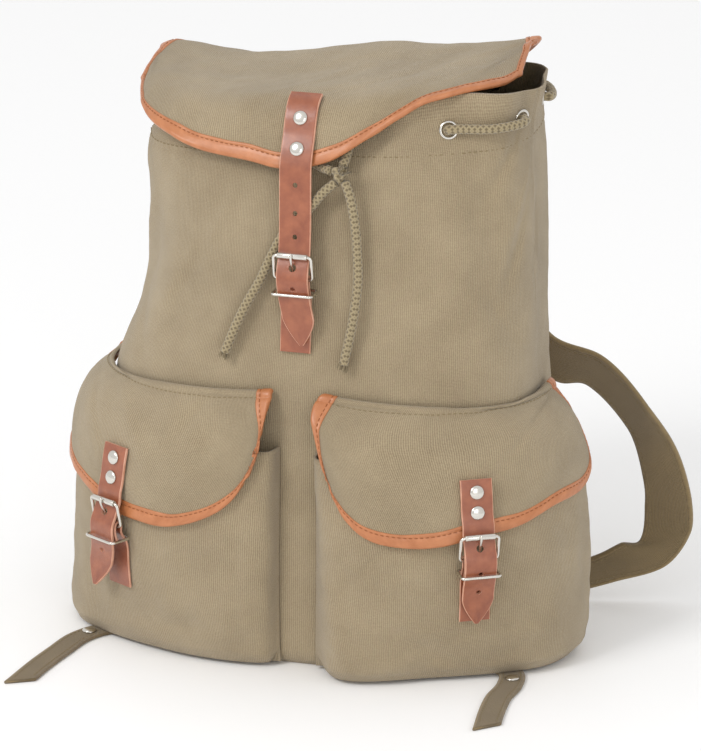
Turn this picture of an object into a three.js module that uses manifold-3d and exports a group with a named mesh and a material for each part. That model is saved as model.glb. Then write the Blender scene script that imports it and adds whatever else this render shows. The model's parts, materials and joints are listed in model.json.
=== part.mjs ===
// A canvas rucksack: a drawstring sack with a lid flap, two front pockets and leather straps.
// Millimetres, +Z up. The origin is on the floor, in the middle of the sack's flat base.
// The front faces -Y and +X is to the right of somebody who looks at the front.

import * as THREE from "three";
import { mergeVertices } from "three/addons/utils/BufferGeometryUtils.js";
import Module from "manifold-3d";

const wasm = await Module();
wasm.setup();

// Driving dimensions of the sack
const bagWidth = 280;
const bagDepth = 160;
const bagHeight = 366;
const clothThickness = 2;
const rimLean = 11;
const rimFrontDip = 5;
const gatherDepth = 2.5;
const seamGap = 0.5;

// Driving dimensions of the lid flap, the pockets and their binding
const flapWidth = 266;
const flapDrop = 36;
const flapSeamHeight = 326;
const flapThickness = 1.8;
const pocketHeight = 150;
const pocketSeamHeight = 183;
const pocketFloor = 2.8;
const pocketFlapStandoff = 3.6;
const bindingWidth = 9.5;
const bindingThickness = 0.9;

// Driving dimensions of the leather and metal pieces
const strapWidth = 21;
const strapThickness = 2;
const tabThickness = 1.6;
const strapTipLength = 18;
const strapHoleRadius = 1.7;
const prongHole = 8;
const rivetRadius = 4.6;
const rivetHeight = 1.7;
const buckleWire = 1.1;
const buckleHalfWidth = 12.4;
const buckleLength = 16;
const rollerRadius = 2;
const prongRadius = 0.8;
const keeperWire = 1;
const leatherGap = 0.3;

// Driving dimensions of the drawcord and its eyelets
const cordRadius = 3;
const eyeletCount = 12;
const eyeletHole = 4.15;
const eyeletRadius = 6.1;
const eyeletPlate = 0.5;
const cordOffset = 7;

// Driving dimensions of the shoulder straps and of the lower straps
const shoulderThickness = 3;
const lowerStrapWidth = 17;
const lowerStrapThickness = 2.2;
const lowerStrapSlant = 6;

const halfWidth = bagWidth / 2;
const halfDepth = bagDepth / 2;

const canvas = new THREE.MeshStandardMaterial({ color: 0xa6967a, roughness: 0.95, metalness: 0 });
const bindingTan = new THREE.MeshStandardMaterial({ color: 0xc8825a, roughness: 0.55, metalness: 0 });
const leather = new THREE.MeshStandardMaterial({ color: 0xaa694b, roughness: 0.45, metalness: 0 });
const cordCotton = new THREE.MeshStandardMaterial({ color: 0xa09078, roughness: 1, metalness: 0 });
const nickel = new THREE.MeshStandardMaterial({ color: 0xd2cec6, roughness: 0.25, metalness: 1 });

const rucksack = new THREE.Group();

function addPiece(name, geometry, material, parent = rucksack) {
  const mesh = new THREE.Mesh(geometry, material);
  mesh.name = name;
  parent.add(mesh);
  return mesh;
}

// Small tools for numbers and tables

function mix(a, b, share) {
  return a + (b - a) * share;
}

function ease(share) {
  const s = Math.min(Math.max(share, 0), 1);
  return s * s * (3 - 2 * s);
}

// A smooth reading of one column between the rows of a table that is sorted by its key column.
function read(table, key, at, column) {
  const last = table.length - 1;
  if (at <= table[0][key]) return table[0][column];
  if (at >= table[last][key]) return table[last][column];
  const i = table.findIndex((row) => row[key] > at) - 1;
  const slope = (k) => {
    const a = table[Math.max(k - 1, 0)];
    const b = table[Math.min(k + 1, last)];
    return (b[column] - a[column]) / (b[key] - a[key]);
  };
  const [p, q] = [table[i], table[i + 1]];
  const span = q[key] - p[key];
  const s = (at - p[key]) / span;
  const h00 = (1 + 2 * s) * (1 - s) ** 2;
  const h01 = s * s * (3 - 2 * s);
  const h10 = s * (1 - s) ** 2 * span;
  const h11 = s * s * (s - 1) * span;
  return h00 * p[column] + h10 * slope(i) + h01 * q[column] + h11 * slope(i + 1);
}

// Small tools for solids

// A closed geometry from corners and triangles, turned so that its faces point out.
function closedGeometry(corners, triangles) {
  let volume = 0;
  for (const [a, b, c] of triangles) {
    volume += corners[a].dot(new THREE.Vector3().crossVectors(corners[b], corners[c]));
  }
  const faces = volume < 0 ? triangles.map(([a, b, c]) => [a, c, b]) : triangles;
  const geometry = new THREE.BufferGeometry().setFromPoints(corners);
  geometry.setIndex(faces.flat());
  geometry.computeVertexNormals();
  return geometry;
}

// A solid through a row of closed loops with the same number of points, capped at both ends.
function loft(loops, capTriangles) {
  const n = loops[0].length;
  const corners = loops.flat();
  const triangles = [];
  for (let i = 0; i + 1 < loops.length; i++) {
    for (let j = 0; j < n; j++) {
      const k = (j + 1) % n;
      const [a, b, c, d] = [i * n + j, i * n + k, (i + 1) * n + k, (i + 1) * n + j];
      triangles.push([a, b, c], [a, c, d]);
    }
  }
  const top = (loops.length - 1) * n;
  for (const [a, b, c] of capTriangles ?? fan(n)) {
    triangles.push([a, c, b], [top + a, top + b, top + c]);
  }
  return closedGeometry(corners, triangles);
}

function fan(n, root = 0) {
  const triangles = [];
  for (let j = 1; j + 1 < n; j++) triangles.push([root, (root + j) % n, (root + j + 1) % n]);
  return triangles;
}

// The direction that each point of a grid of points faces, from the triangles around it.
function gridNormals(grid) {
  const normals = grid.map((row) => row.map(() => new THREE.Vector3()));
  const edge1 = new THREE.Vector3();
  const edge2 = new THREE.Vector3();
  for (let i = 0; i + 1 < grid.length; i++) {
    for (let j = 0; j + 1 < grid[i].length; j++) {
      const cell = [[i, j], [i + 1, j], [i + 1, j + 1], [i, j + 1]];
      const [a, b, c, d] = cell.map(([p, q]) => grid[p][q]);
      edge1.subVectors(c, a);
      edge2.subVectors(d, b);
      const face = new THREE.Vector3().crossVectors(edge1, edge2);
      for (const [p, q] of cell) normals[p][q].add(face);
    }
  }
  for (const row of normals) row.forEach((normal) => normal.normalize());
  return normals;
}

// A sheet of cloth: a grid of points moved out and in along its normals and joined round its edge.
function sheet(grid, out, inward, normals = gridNormals(grid)) {
  const [rows, columns] = [grid.length, grid[0].length];
  const moved = (distance) => grid.flatMap((row, i) => row.map((p, j) =>
    p.clone().addScaledVector(normals[i][j], distance(i, j))));
  const corners = [...moved(() => out), ...moved((i, j) => -inward(i, j))];
  const back = rows * columns;
  const triangles = [];
  for (let i = 0; i + 1 < rows; i++) {
    for (let j = 0; j + 1 < columns; j++) {
      const [a, b] = [i * columns + j, (i + 1) * columns + j];
      triangles.push([a, b, b + 1], [a, b + 1, a + 1]);
      triangles.push([back + a, back + b + 1, back + b], [back + a, back + a + 1, back + b + 1]);
    }
  }
  const rim = borderOf(rows, columns).map(([i, j]) => i * columns + j);
  rim.forEach((a, k) => {
    const b = rim[(k + 1) % rim.length];
    triangles.push([b, a, back + a], [b, back + a, back + b]);
  });
  return closedGeometry(corners, triangles);
}

// The places round the edge of a grid, in order.
function borderOf(rows, columns) {
  const places = [];
  for (let i = 0; i < rows; i++) places.push([i, 0]);
  for (let j = 1; j < columns; j++) places.push([rows - 1, j]);
  for (let i = rows - 2; i >= 0; i--) places.push([i, columns - 1]);
  for (let j = columns - 2; j > 0; j--) places.push([0, j]);
  return places;
}

// A flat strap through stations, each with its middle, its way along and half its width as a vector.
function ribbon(stations, thickness) {
  return loft(stations.map(({ centre, along, half }) => {
    const face = new THREE.Vector3().crossVectors(along, half).setLength(thickness / 2);
    return [[1, 1], [-1, 1], [-1, -1], [1, -1]].map(([x, y]) =>
      centre.clone().addScaledVector(half, x).addScaledVector(face, y));
  }));
}

// A closed wire through the corners of a flat outline, with its sections mitred at the corners.
function wireLoop(corners, radius, sides) {
  const n = corners.length;
  const way = (i) => corners[(i + 1) % n].clone().sub(corners[i % n]).normalize();
  const plane = new THREE.Vector3().crossVectors(way(0), way(1)).normalize();
  const loops = corners.map((corner, i) => {
    const [before, after] = [way(i + n - 1), way(i)];
    const along = before.clone().add(after).normalize();
    const mitre = new THREE.Vector3().crossVectors(plane, along).multiplyScalar(1 / along.dot(after));
    return evenly(sides).slice(1).map((share) => {
      const turn = 2 * Math.PI * share;
      return corner.clone().addScaledVector(mitre, radius * Math.cos(turn))
        .addScaledVector(plane, radius * Math.sin(turn));
    });
  });
  return loft([...loops, loops[0]], []);
}

function evenly(count) {
  return Array.from({ length: count + 1 }, (_, i) => i / count);
}

// A round cord or wire along an open curve.
function rod(points, radius, steps, sides) {
  const outline = new THREE.Shape();
  for (let k = 0; k < sides; k++) {
    const turn = (2 * Math.PI * k) / sides;
    const [x, y] = [radius * Math.cos(turn), radius * Math.sin(turn)];
    if (k === 0) outline.moveTo(x, y);
    else outline.lineTo(x, y);
  }
  const extrudePath = new THREE.CatmullRomCurve3(points);
  return new THREE.ExtrudeGeometry(outline, { steps, extrudePath, bevelEnabled: false });
}

function solidOf(geometry) {
  const bare = geometry.index ? geometry.toNonIndexed() : geometry.clone();
  bare.deleteAttribute("normal");
  bare.deleteAttribute("uv");
  const merged = mergeVertices(bare, 1e-4);
  return new wasm.Manifold(new wasm.Mesh({
    numProp: 3,
    vertProperties: new Float32Array(merged.attributes.position.array),
    triVerts: new Uint32Array(merged.index.array),
  }));
}

function geometryOf(solid) {
  const { vertProperties, triVerts } = solid.getMesh();
  const geometry = new THREE.BufferGeometry();
  geometry.setAttribute("position", new THREE.BufferAttribute(vertProperties, 3));
  geometry.setIndex(new THREE.BufferAttribute(triVerts, 1));
  geometry.computeVertexNormals();
  return geometry;
}

function cut(geometry, tools) {
  return geometryOf(tools.reduce((solid, tool) => solid.subtract(solidOf(tool)), solidOf(geometry)));
}

function join(geometries) {
  return geometryOf(geometries.map(solidOf).reduce((sum, solid) => sum.add(solid)));
}

// Turns a geometry that was made along +Y so that it faces along a direction at a place.
function placed(geometry, position, direction) {
  const turn = new THREE.Quaternion().setFromUnitVectors(new THREE.Vector3(0, 1, 0), direction);
  return geometry.applyQuaternion(turn).translate(position.x, position.y, position.z);
}

function lathe(outline, sides) {
  return new THREE.LatheGeometry(outline.map(([r, y]) => new THREE.Vector2(r, y)), sides);
}

// The sack

// Widths to the left and right as shares of half the width, depths as shares of half the depth.
const girths = [
  { height: 0.0, left: 0.945, right: 0.945, front: 0.93, back: 0.94 },
  { height: 0.012, left: 1.0, right: 1.0, front: 0.985, back: 0.985 },
  { height: 0.035, left: 1.03, right: 1.03, front: 1.015, back: 1.0 },
  { height: 0.16, left: 1.05, right: 1.06, front: 1.02, back: 1.0 },
  { height: 0.32, left: 1.03, right: 1.045, front: 1.0, back: 1.0 },
  { height: 0.5, left: 0.985, right: 1.0, front: 0.96, back: 0.99 },
  { height: 0.62, left: 0.875, right: 0.99, front: 0.885, back: 0.98 },
  { height: 0.74, left: 0.825, right: 0.99, front: 0.825, back: 0.97 },
  { height: 0.84, left: 0.83, right: 0.98, front: 0.755, back: 0.96 },
  { height: 0.92, left: 0.84, right: 0.965, front: 0.625, back: 0.95 },
  { height: 0.955, left: 0.785, right: 0.965, front: 0.55, back: 0.94 },
  { height: 1.0, left: 0.7, right: 0.99, front: 0.48, back: 0.92 },
];
const frontRoundness = 2.6;
const backRoundness = 4.2;

// Folds and dents: where they are round the girth and up the sack, their half size, lean and depth.
const bagFolds = [
  { turn: 0.815, height: 0.71, width: 0.018, length: 0.1, lean: 0.1, depth: -4 },
  { turn: 0.855, height: 0.66, width: 0.02, length: 0.09, lean: 0.12, depth: 3 },
  { turn: 0.165, height: 0.82, width: 0.02, length: 0.12, lean: -0.1, depth: -4 },
  { turn: 0.225, height: 0.64, width: 0.02, length: 0.1, lean: 0.08, depth: 3 },
  { turn: 0.09, height: 0.8, width: 0.022, length: 0.1, lean: -0.14, depth: -2.5 },
  { turn: 0.41, height: 0.5, width: 0.03, length: 0.2, lean: 0.06, depth: -4 },
  { turn: 0.59, height: 0.42, width: 0.03, length: 0.2, lean: -0.05, depth: -4 },
  { turn: 0.5, height: 0.16, width: 0.12, length: 0.06, lean: 0, depth: 3 },
];

function girthCurve(angle, row) {
  const [c, s] = [Math.cos(angle), Math.sin(angle)];
  const power = 2 / (s < 0 ? frontRoundness : backRoundness);
  const across = (c < 0 ? row.left : row.right) * halfWidth;
  const deep = (s < 0 ? row.front : row.back) * halfDepth;
  return [across * Math.sign(c) * Math.abs(c) ** power, deep * Math.sign(s) * Math.abs(s) ** power];
}

// Angles for equal steps of length round the girth, from the middle of the front by way of +X.
const girthSteps = 1440;
const girthLengths = [0];
const middleGirth = girths[5];
for (let i = 1; i <= girthSteps; i++) {
  const angle = (k) => (2 * Math.PI * k) / girthSteps - Math.PI / 2;
  const [x0, y0] = girthCurve(angle(i - 1), middleGirth);
  const [x1, y1] = girthCurve(angle(i), middleGirth);
  girthLengths.push(girthLengths[i - 1] + Math.hypot(x1 - x0, y1 - y0));
}

function girthAngle(turn) {
  const wanted = (turn - Math.floor(turn)) * girthLengths[girthSteps];
  let [low, high] = [0, girthSteps];
  while (high - low > 1) {
    const middle = (low + high) >> 1;
    if (girthLengths[middle] <= wanted) low = middle;
    else high = middle;
  }
  const share = (wanted - girthLengths[low]) / (girthLengths[high] - girthLengths[low]);
  return (2 * Math.PI * (low + share)) / girthSteps - Math.PI / 2;
}

// A point of the sack before its gathers and folds.
function plainBagPoint(turn, height) {
  const row = {};
  for (const column of ["left", "right", "front", "back"]) {
    row[column] = read(girths, "height", height, column);
  }
  const [x, y] = girthCurve(girthAngle(turn), row);
  const nearRim = height ** 4;
  const frontness = Math.max(0, -y / halfDepth);
  const z = height * bagHeight + nearRim * (rimLean * (x / halfWidth) - 2 * rimFrontDip * frontness);
  return new THREE.Vector3(x, y, z);
}

function bagOutward(turn, height) {
  const step = 0.004;
  const a = plainBagPoint(turn - step, height);
  const b = plainBagPoint(turn + step, height);
  return new THREE.Vector3(b.y - a.y, a.x - b.x, 0).normalize();
}

function foldDepth(turn, height) {
  let depth = 0;
  for (const fold of bagFolds) {
    const up = height - fold.height;
    const along = up / fold.length;
    const across = (turn - fold.turn - fold.lean * up) / fold.width;
    depth += fold.depth * Math.exp(-along * along - across * across);
  }
  const nearRim = ease((height - 0.88) / 0.12);
  return depth + nearRim * gatherDepth * Math.cos(2 * Math.PI * eyeletCount * turn);
}

function bagPoint(turn, height, outset = 0) {
  const share = turn - Math.floor(turn);
  const distance = foldDepth(share, height) + outset;
  return plainBagPoint(turn, height).addScaledVector(bagOutward(turn, height), distance);
}

// The eyelets sit in the band of cloth between the last two rows below the rim.
const eyeletBand = [0.943, 0.99];
const bagRows = [0, 0.012, 0.035, 0.12, 0.28, 0.44, 0.56, 0.66, 0.76, 0.86, 0.905, ...eyeletBand, 1];
const insideRows = [1, 0.99, 0.943, 0.86, 0.76, 0.66, 0.56, 0.44, 0.035, 0.012];
const bagAround = 3 * eyeletCount;

function bagLoop(height, outset, lift = 0) {
  return Array.from({ length: bagAround }, (_, j) => {
    const p = bagPoint(j / bagAround, height, outset);
    p.z += lift;
    return p;
  });
}

const eyeletHeight = (eyeletBand[0] + eyeletBand[1]) / 2;
const eyeletTurns = Array.from({ length: eyeletCount }, (_, k) => (k + 0.5) / eyeletCount);

// The middle of the flat bit of cloth that holds an eyelet, and the way that the eyelet faces.
function eyeletPlace(turn) {
  const half = 0.5 / bagAround;
  const face = (outset) => [[-half, 0], [half, 0], [half, 1], [-half, 1]].map(([aside, row]) =>
    bagPoint(turn + aside, eyeletBand[row], outset));
  const [a, b, c, d] = face(0);
  const outward = new THREE.Vector3().crossVectors(c.clone().sub(a), d.clone().sub(b)).normalize();
  const centre = new THREE.Vector3();
  for (const corner of [a, b, c, d, ...face(-clothThickness)]) centre.addScaledVector(corner, 1 / 8);
  return { centre, outward };
}

function eyeletCut() {
  const wide = eyeletHole + 1.6;
  return lathe([[0, -8], [wide, -8], [wide, 8], [0, 8]], 6);
}

function eyelet() {
  const [inner, plate] = [clothThickness / 2 + leatherGap, eyeletPlate];
  const barrel = eyeletHole + 0.6;
  return lathe([[eyeletHole, -inner - plate], [eyeletRadius, -inner - plate * 0.5], [barrel, -inner],
    [barrel, inner], [eyeletRadius, inner + plate * 0.5], [eyeletHole, inner + plate],
    [eyeletHole, -inner - plate]], 6);
}

const outerLoops = bagRows.map((height) => bagLoop(height, 0));
const innerLoops = insideRows.map((height) => bagLoop(height, -clothThickness));
const floorLoop = bagLoop(0, -clothThickness, clothThickness);
const sackShell = loft([...outerLoops, ...innerLoops, floorLoop], fan(bagAround, 5));
const eyeletCuts = eyeletTurns.map((turn) => {
  const { centre, outward } = eyeletPlace(turn);
  return placed(eyeletCut(), centre, outward);
});
addPiece("bag_body", cut(sackShell, eyeletCuts), canvas);
eyeletTurns.forEach((turn, k) => {
  const { centre, outward } = eyeletPlace(turn);
  addPiece(`eyelet_${k + 1}`, placed(eyelet(), centre, outward), nickel);
});

// The drawcord, threaded out and in through the eyelets, with both ends out at the front

function cordRun(turn, side) {
  const { outward } = eyeletPlace(turn);
  return bagPoint(turn, eyeletHeight, -clothThickness / 2).addScaledVector(outward, side * cordOffset);
}

const knotCentre = new THREE.Vector3(27, -66, 331);
const cordLeadRight = [[27.8, -61.9, 335], [28.5, -57, 339.5], [29, -52, 345]];
const cordLeadLeft = [
  [-27, -50, 343], [-14, -53.5, 339], [2, -55, 335], [14, -60, 332.4], [20.9, -65.1, 332.4],
];
const asVectors = (points) => points.map(([x, y, z]) => new THREE.Vector3(x, y, z));
const cordPoints = [];
const pitch = 1 / eyeletCount;
const cordStraight = 4;
eyeletTurns.forEach((turn, k) => {
  const { centre, outward } = eyeletPlace(turn);
  const before = k % 2 === 0 ? 1 : -1;
  const aside = pitch * 0.12;
  if (k > 0) cordPoints.push(cordRun(turn - aside, before));
  cordPoints.push(centre.clone().addScaledVector(outward, before * cordStraight));
  cordPoints.push(centre.clone().addScaledVector(outward, -before * cordStraight));
  if (k < eyeletCount - 1) {
    cordPoints.push(cordRun(turn + aside, -before));
    cordPoints.push(cordRun(turn + pitch * 0.5, -before));
  }
});
const cordRoute = [...asVectors(cordLeadRight), ...cordPoints, ...asVectors(cordLeadLeft)];
addPiece("drawcord", rod(cordRoute, cordRadius, 100, 5), cordCotton);

// The free ends of the drawcord and their knot

// Points of the free ends, chosen by hand: from the knot down in front of the sack.
const cordEndLeft = [
  [24.5, -66.3, 325.4], [17, -67.5, 319], [9, -69, 309], [-1, -69.8, 299], [-9, -70.5, 289.5],
  [-16.5, -72, 275], [-24, -73.5, 258], [-30, -75, 247], [-35.5, -76, 236], [-41, -77, 223], [-46, -78, 210],
];
const cordEndRight = [
  [30.8, -67.6, 326.9], [34.5, -68.5, 317], [36.5, -69, 308], [38.5, -70, 296], [40, -71.5, 281],
  [41, -73.5, 264], [40, -75.5, 249], [38, -77, 234], [35.5, -77.8, 221], [33, -78.5, 209],
];
const knotRadius = 5.4;
addPiece("cord_end_left", rod(asVectors(cordEndLeft), cordRadius, 13, 6), cordCotton);
addPiece("cord_end_right", rod(asVectors(cordEndRight), cordRadius, 12, 6), cordCotton);
const knot = addPiece("cord_knot", new THREE.SphereGeometry(knotRadius, 8, 6), cordCotton);
knot.position.copy(knotCentre);

// The binding: a folded strip that grips the edge of a flap

const bindingGap = 1;
const bindingCap = [[0, 1, 10], [0, 10, 11], [1, 2, 9], [1, 9, 10], [2, 3, 8], [2, 8, 9], [3, 4, 7],
  [3, 7, 8], [4, 5, 6], [4, 6, 7]];

// A value between the points of a grid, at broken row and column numbers.
function between(grid, i, j) {
  const row = Math.min(Math.floor(i), grid.length - 2);
  const column = Math.min(Math.floor(j), grid[0].length - 2);
  const [down, along] = [i - row, j - column];
  const [from, to] = [grid[row][column], grid[row + 1][column + 1]];
  const corner = down > along ? grid[row + 1][column] : grid[row][column + 1];
  const [first, second] = [Math.max(down, along), Math.min(down, along)];
  return from.clone().addScaledVector(corner.clone().sub(from), first)
    .addScaledVector(to.clone().sub(corner), second);
}

// The edge of a grid down its first row of points, along its end and up its last row.
function flapEdge(grid, skip) {
  const [endRow, end] = [grid.length - 1, grid[0].length - 1];
  const places = [];
  for (let j = skip; j < end; j++) places.push({ i: 0, j });
  for (let i = 0; i <= endRow; i++) places.push({ i, j: end });
  for (let j = end - 1; j >= skip; j--) places.push({ i: endRow, j });
  return places;
}

// How many grid steps from a place, one way, it takes to get a distance away.
function stepsAway(grid, i, j, way, distance) {
  for (let step = 0.05; step < 8; step += 0.05) {
    const there = between(grid, i + way[0] * step, j + way[1] * step);
    if (there.distanceTo(grid[i][j]) >= distance) return step;
  }
  throw new Error("the flap is narrower than its binding");
}

// The place in the grid a distance in from its border, both from its sides and from its end.
function insetPlace(grid, { i, j }, distance) {
  const [endRow, end] = [grid.length - 1, grid[0].length - 1];
  const first = stepsAway(grid, 0, j, [1, 0], distance);
  const last = endRow - stepsAway(grid, endRow, j, [-1, 0], distance);
  const low = end - stepsAway(grid, i, end, [0, -1], distance);
  return [Math.min(Math.max(i, first), last), Math.min(j, low)];
}

function binding(grid, normals, skip, flapHalf) {
  const slot = flapHalf + bindingGap;
  const face = slot + bindingThickness;
  const loops = flapEdge(grid, skip).map((place) => {
    const at = (distance) => {
      const inside = insetPlace(grid, place, distance);
      return [between(grid, ...inside), between(normals, ...inside).normalize()];
    };
    const [lip, middle] = [at(bindingWidth), at(bindingWidth / 2)];
    const [edge, edgeUp] = [grid[place.i][place.j], normals[place.i][place.j]];
    const outward = edge.clone().sub(middle[0]).normalize();
    const inEdge = [edge.clone().addScaledVector(outward, leatherGap), edgeUp];
    const outEdge = [edge.clone().addScaledVector(outward, leatherGap + bindingThickness), edgeUp];
    return [[lip, face], [middle, face], [outEdge, face], [outEdge, -face], [middle, -face], [lip, -face],
      [lip, -slot], [middle, -slot], [inEdge, -slot], [inEdge, slot], [middle, slot], [lip, slot]]
      .map(([[point, up], distance]) => point.clone().addScaledVector(up, distance));
  });
  return loft(loops, bindingCap);
}

// Adds a flap and its binding; thick(i, j) is how far the cloth reaches in at a point of the grid.
function addFlap(name, grid, half, skip, thick = () => half) {
  const normals = gridNormals(grid);
  const facesOut = normals[Math.floor(grid.length / 2)][Math.floor(grid[0].length / 2)];
  const flip = facesOut.dot(new THREE.Vector3(0, -1, 0.4)) < 0 ? -1 : 1;
  for (const row of normals) row.forEach((normal) => normal.multiplyScalar(flip));
  addPiece(name, sheet(grid, half, thick, normals), canvas);
  const cloth = sheet(grid, half + 0.1, () => half + 0.1, normals);
  const folded = binding(grid, normals, skip, half);
  addPiece(`${name}_binding`, cut(folded, [cloth]), bindingTan);
}

// The lid flap

// A rib for each station across the flap. Widths are shares of half the flap's width, depths
// shares of half the sack's depth to the back, heights shares of the drop above the sack's height.
const flapRibs = [
  {
    station: 0.0, across: -0.975, crest: 0.06, browBack: 0.5,
    browRise: 0.0, edgeAcross: -0.985, edgeBack: 0.23, edgeRise: -0.22,
  },
  {
    station: 0.08, across: -0.9, crest: 0.14, browBack: 0.06,
    browRise: -0.06, edgeAcross: -0.862, edgeBack: -0.325, edgeRise: -0.44,
  },
  {
    station: 0.17, across: -0.72, crest: 0.11, browBack: -0.25,
    browRise: -0.06, edgeAcross: -0.703, edgeBack: -0.595, edgeRise: -0.6,
  },
  {
    station: 0.27, across: -0.5, crest: 0.06, browBack: -0.475,
    browRise: -0.06, edgeAcross: -0.52, edgeBack: -0.69, edgeRise: -0.8,
  },
  {
    station: 0.37, across: -0.28, crest: 0.14, browBack: -0.56,
    browRise: 0.0, edgeAcross: -0.26, edgeBack: -0.775, edgeRise: -0.87,
  },
  {
    station: 0.47, across: -0.05, crest: 0.3, browBack: -0.6,
    browRise: 0.05, edgeAcross: -0.075, edgeBack: -0.8, edgeRise: -0.95,
  },
  {
    station: 0.57, across: 0.18, crest: 0.44, browBack: -0.6,
    browRise: 0.16, edgeAcross: 0.15, edgeBack: -0.8, edgeRise: -0.75,
  },
  {
    station: 0.67, across: 0.4, crest: 0.47, browBack: -0.5,
    browRise: 0.3, edgeAcross: 0.34, edgeBack: -0.69, edgeRise: -0.3,
  },
  {
    station: 0.77, across: 0.6, crest: 0.53, browBack: -0.33,
    browRise: 0.45, edgeAcross: 0.55, edgeBack: -0.56, edgeRise: 0.22,
  },
  {
    station: 0.87, across: 0.77, crest: 0.61, browBack: -0.1,
    browRise: 0.56, edgeAcross: 0.72, edgeBack: -0.41, edgeRise: 0.42,
  },
  {
    station: 0.94, across: 0.87, crest: 0.67, browBack: 0.22,
    browRise: 0.66, edgeAcross: 0.885, edgeBack: -0.19, edgeRise: 0.45,
  },
  {
    station: 1.0, across: 0.93, crest: 0.7, browBack: 0.5,
    browRise: 0.78, edgeAcross: 0.95, edgeBack: 0.06, edgeRise: 0.53,
  },
];
const flapSeamShare = 0.7;
const flapCrestBack = 0.8;
const flapBehind = 89.5;
const flapRiseHeight = 352;

// How far back the back of the sack lies at a place across and a height.
function bagBack(x, z) {
  const height = z / bagHeight;
  const across = read(girths, "height", height, x < 0 ? "left" : "right") * halfWidth;
  const share = Math.min(Math.abs(x) / across, 0.999);
  const deep = read(girths, "height", height, "back") * halfDepth;
  return deep * (1 - share ** backRoundness) ** (1 / backRoundness);
}

function flapRib(station) {
  const rib = {};
  for (const column of Object.keys(flapRibs[0])) rib[column] = read(flapRibs, "station", station, column);
  const x = rib.across * (flapWidth / 2);
  const rise = (share) => bagHeight + share * flapDrop;
  const seamX = x * flapSeamShare;
  const middleBack = (flapCrestBack + rib.browBack) / 2;
  return new THREE.CatmullRomCurve3([
    new THREE.Vector3(seamX, bagBack(seamX, flapSeamHeight) + flapThickness / 2 + seamGap, flapSeamHeight),
    new THREE.Vector3(seamX * 1.03, flapBehind, flapRiseHeight),
    new THREE.Vector3(x, flapCrestBack * halfDepth, rise(rib.crest)),
    new THREE.Vector3(x, middleBack * halfDepth, rise((rib.crest + rib.browRise) / 2 + 0.04)),
    new THREE.Vector3(x, rib.browBack * halfDepth, rise(rib.browRise)),
    new THREE.Vector3(rib.edgeAcross * (flapWidth / 2), rib.edgeBack * halfDepth, rise(rib.edgeRise)),
  ]);
}

const flapGrid = evenly(20).map((station) => flapRib(station).getPoints(9));
addFlap("main_flap", flapGrid, flapThickness / 2, 3);

// The pockets

// Plan of a pocket at each height: its inner corner, belly, outer corner and side, as shares of half
// the sack's width and depth. Heights are shares of the height of the pocket's seam.
const pocketSections = {
  right: [
    {
      height: 0.015, innerX: 0.279, innerY: 1.275, bellyX: 0.64, bellyY: 1.05,
      outerX: 1.14, outerY: 0.5, sideX: 1.19, sideY: -0.04,
    },
    {
      height: 0.065, innerX: 0.27, innerY: 1.34, bellyX: 0.64, bellyY: 1.125,
      outerX: 1.19, outerY: 0.525, sideX: 1.243, sideY: -0.05,
    },
    {
      height: 0.27, innerX: 0.229, innerY: 1.325, bellyX: 0.68, bellyY: 1.175,
      outerX: 1.186, outerY: 0.56, sideX: 1.257, sideY: -0.05,
    },
    {
      height: 0.55, innerX: 0.186, innerY: 1.275, bellyX: 0.68, bellyY: 1.2,
      outerX: 1.14, outerY: 0.62, sideX: 1.24, sideY: -0.075,
    },
    {
      height: 0.82, innerX: 0.143, innerY: 1.21, bellyX: 0.607, bellyY: 1.15,
      outerX: 1.07, outerY: 0.56, sideX: 1.18, sideY: -0.025,
    },
    {
      height: 1.0, innerX: 0.1, innerY: 1.05, bellyX: 0.535, bellyY: 0.93,
      outerX: 0.9, outerY: 0.39, sideX: 1.02, sideY: 0.0,
    },
  ],
  left: [
    {
      height: 0.015, innerX: 0.15, innerY: 1.1, bellyX: 0.557, bellyY: 1.06,
      outerX: 1.13, outerY: 0.54, sideX: 1.18, sideY: -0.05,
    },
    {
      height: 0.065, innerX: 0.143, innerY: 1.1625, bellyX: 0.557, bellyY: 1.1375,
      outerX: 1.15, outerY: 0.575, sideX: 1.205, sideY: -0.075,
    },
    {
      height: 0.27, innerX: 0.121, innerY: 1.2, bellyX: 0.63, bellyY: 1.175,
      outerX: 1.115, outerY: 0.625, sideX: 1.195, sideY: -0.075,
    },
    {
      height: 0.55, innerX: 0.107, innerY: 1.2, bellyX: 0.657, bellyY: 1.19,
      outerX: 1.1, outerY: 0.665, sideX: 1.18, sideY: -0.095,
    },
    {
      height: 0.82, innerX: 0.093, innerY: 1.15, bellyX: 0.57, bellyY: 1.15,
      outerX: 1.057, outerY: 0.59, sideX: 1.157, sideY: -0.025,
    },
    {
      height: 1.0, innerX: 0.1, innerY: 1.05, bellyX: 0.535, bellyY: 0.93,
      outerX: 0.9, outerY: 0.39, sideX: 1.02, sideY: 0.0,
    },
  ],
};
const sides = {
  right: { sign: 1, innerTurn: 0.02, outerTurn: 0.268 },
  left: { sign: -1, innerTurn: 0.011, outerTurn: 0.268 },
};
const innerSeamGap = 2;
const outerSeamGap = 2.6;

function seamTurn(side, along) {
  const { sign, innerTurn, outerTurn } = sides[side];
  return sign * mix(innerTurn, outerTurn, along);
}

function bagAt(turn, z, outset) {
  const p = bagPoint(turn, z / bagHeight, outset);
  p.z = z;
  return p;
}

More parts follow.
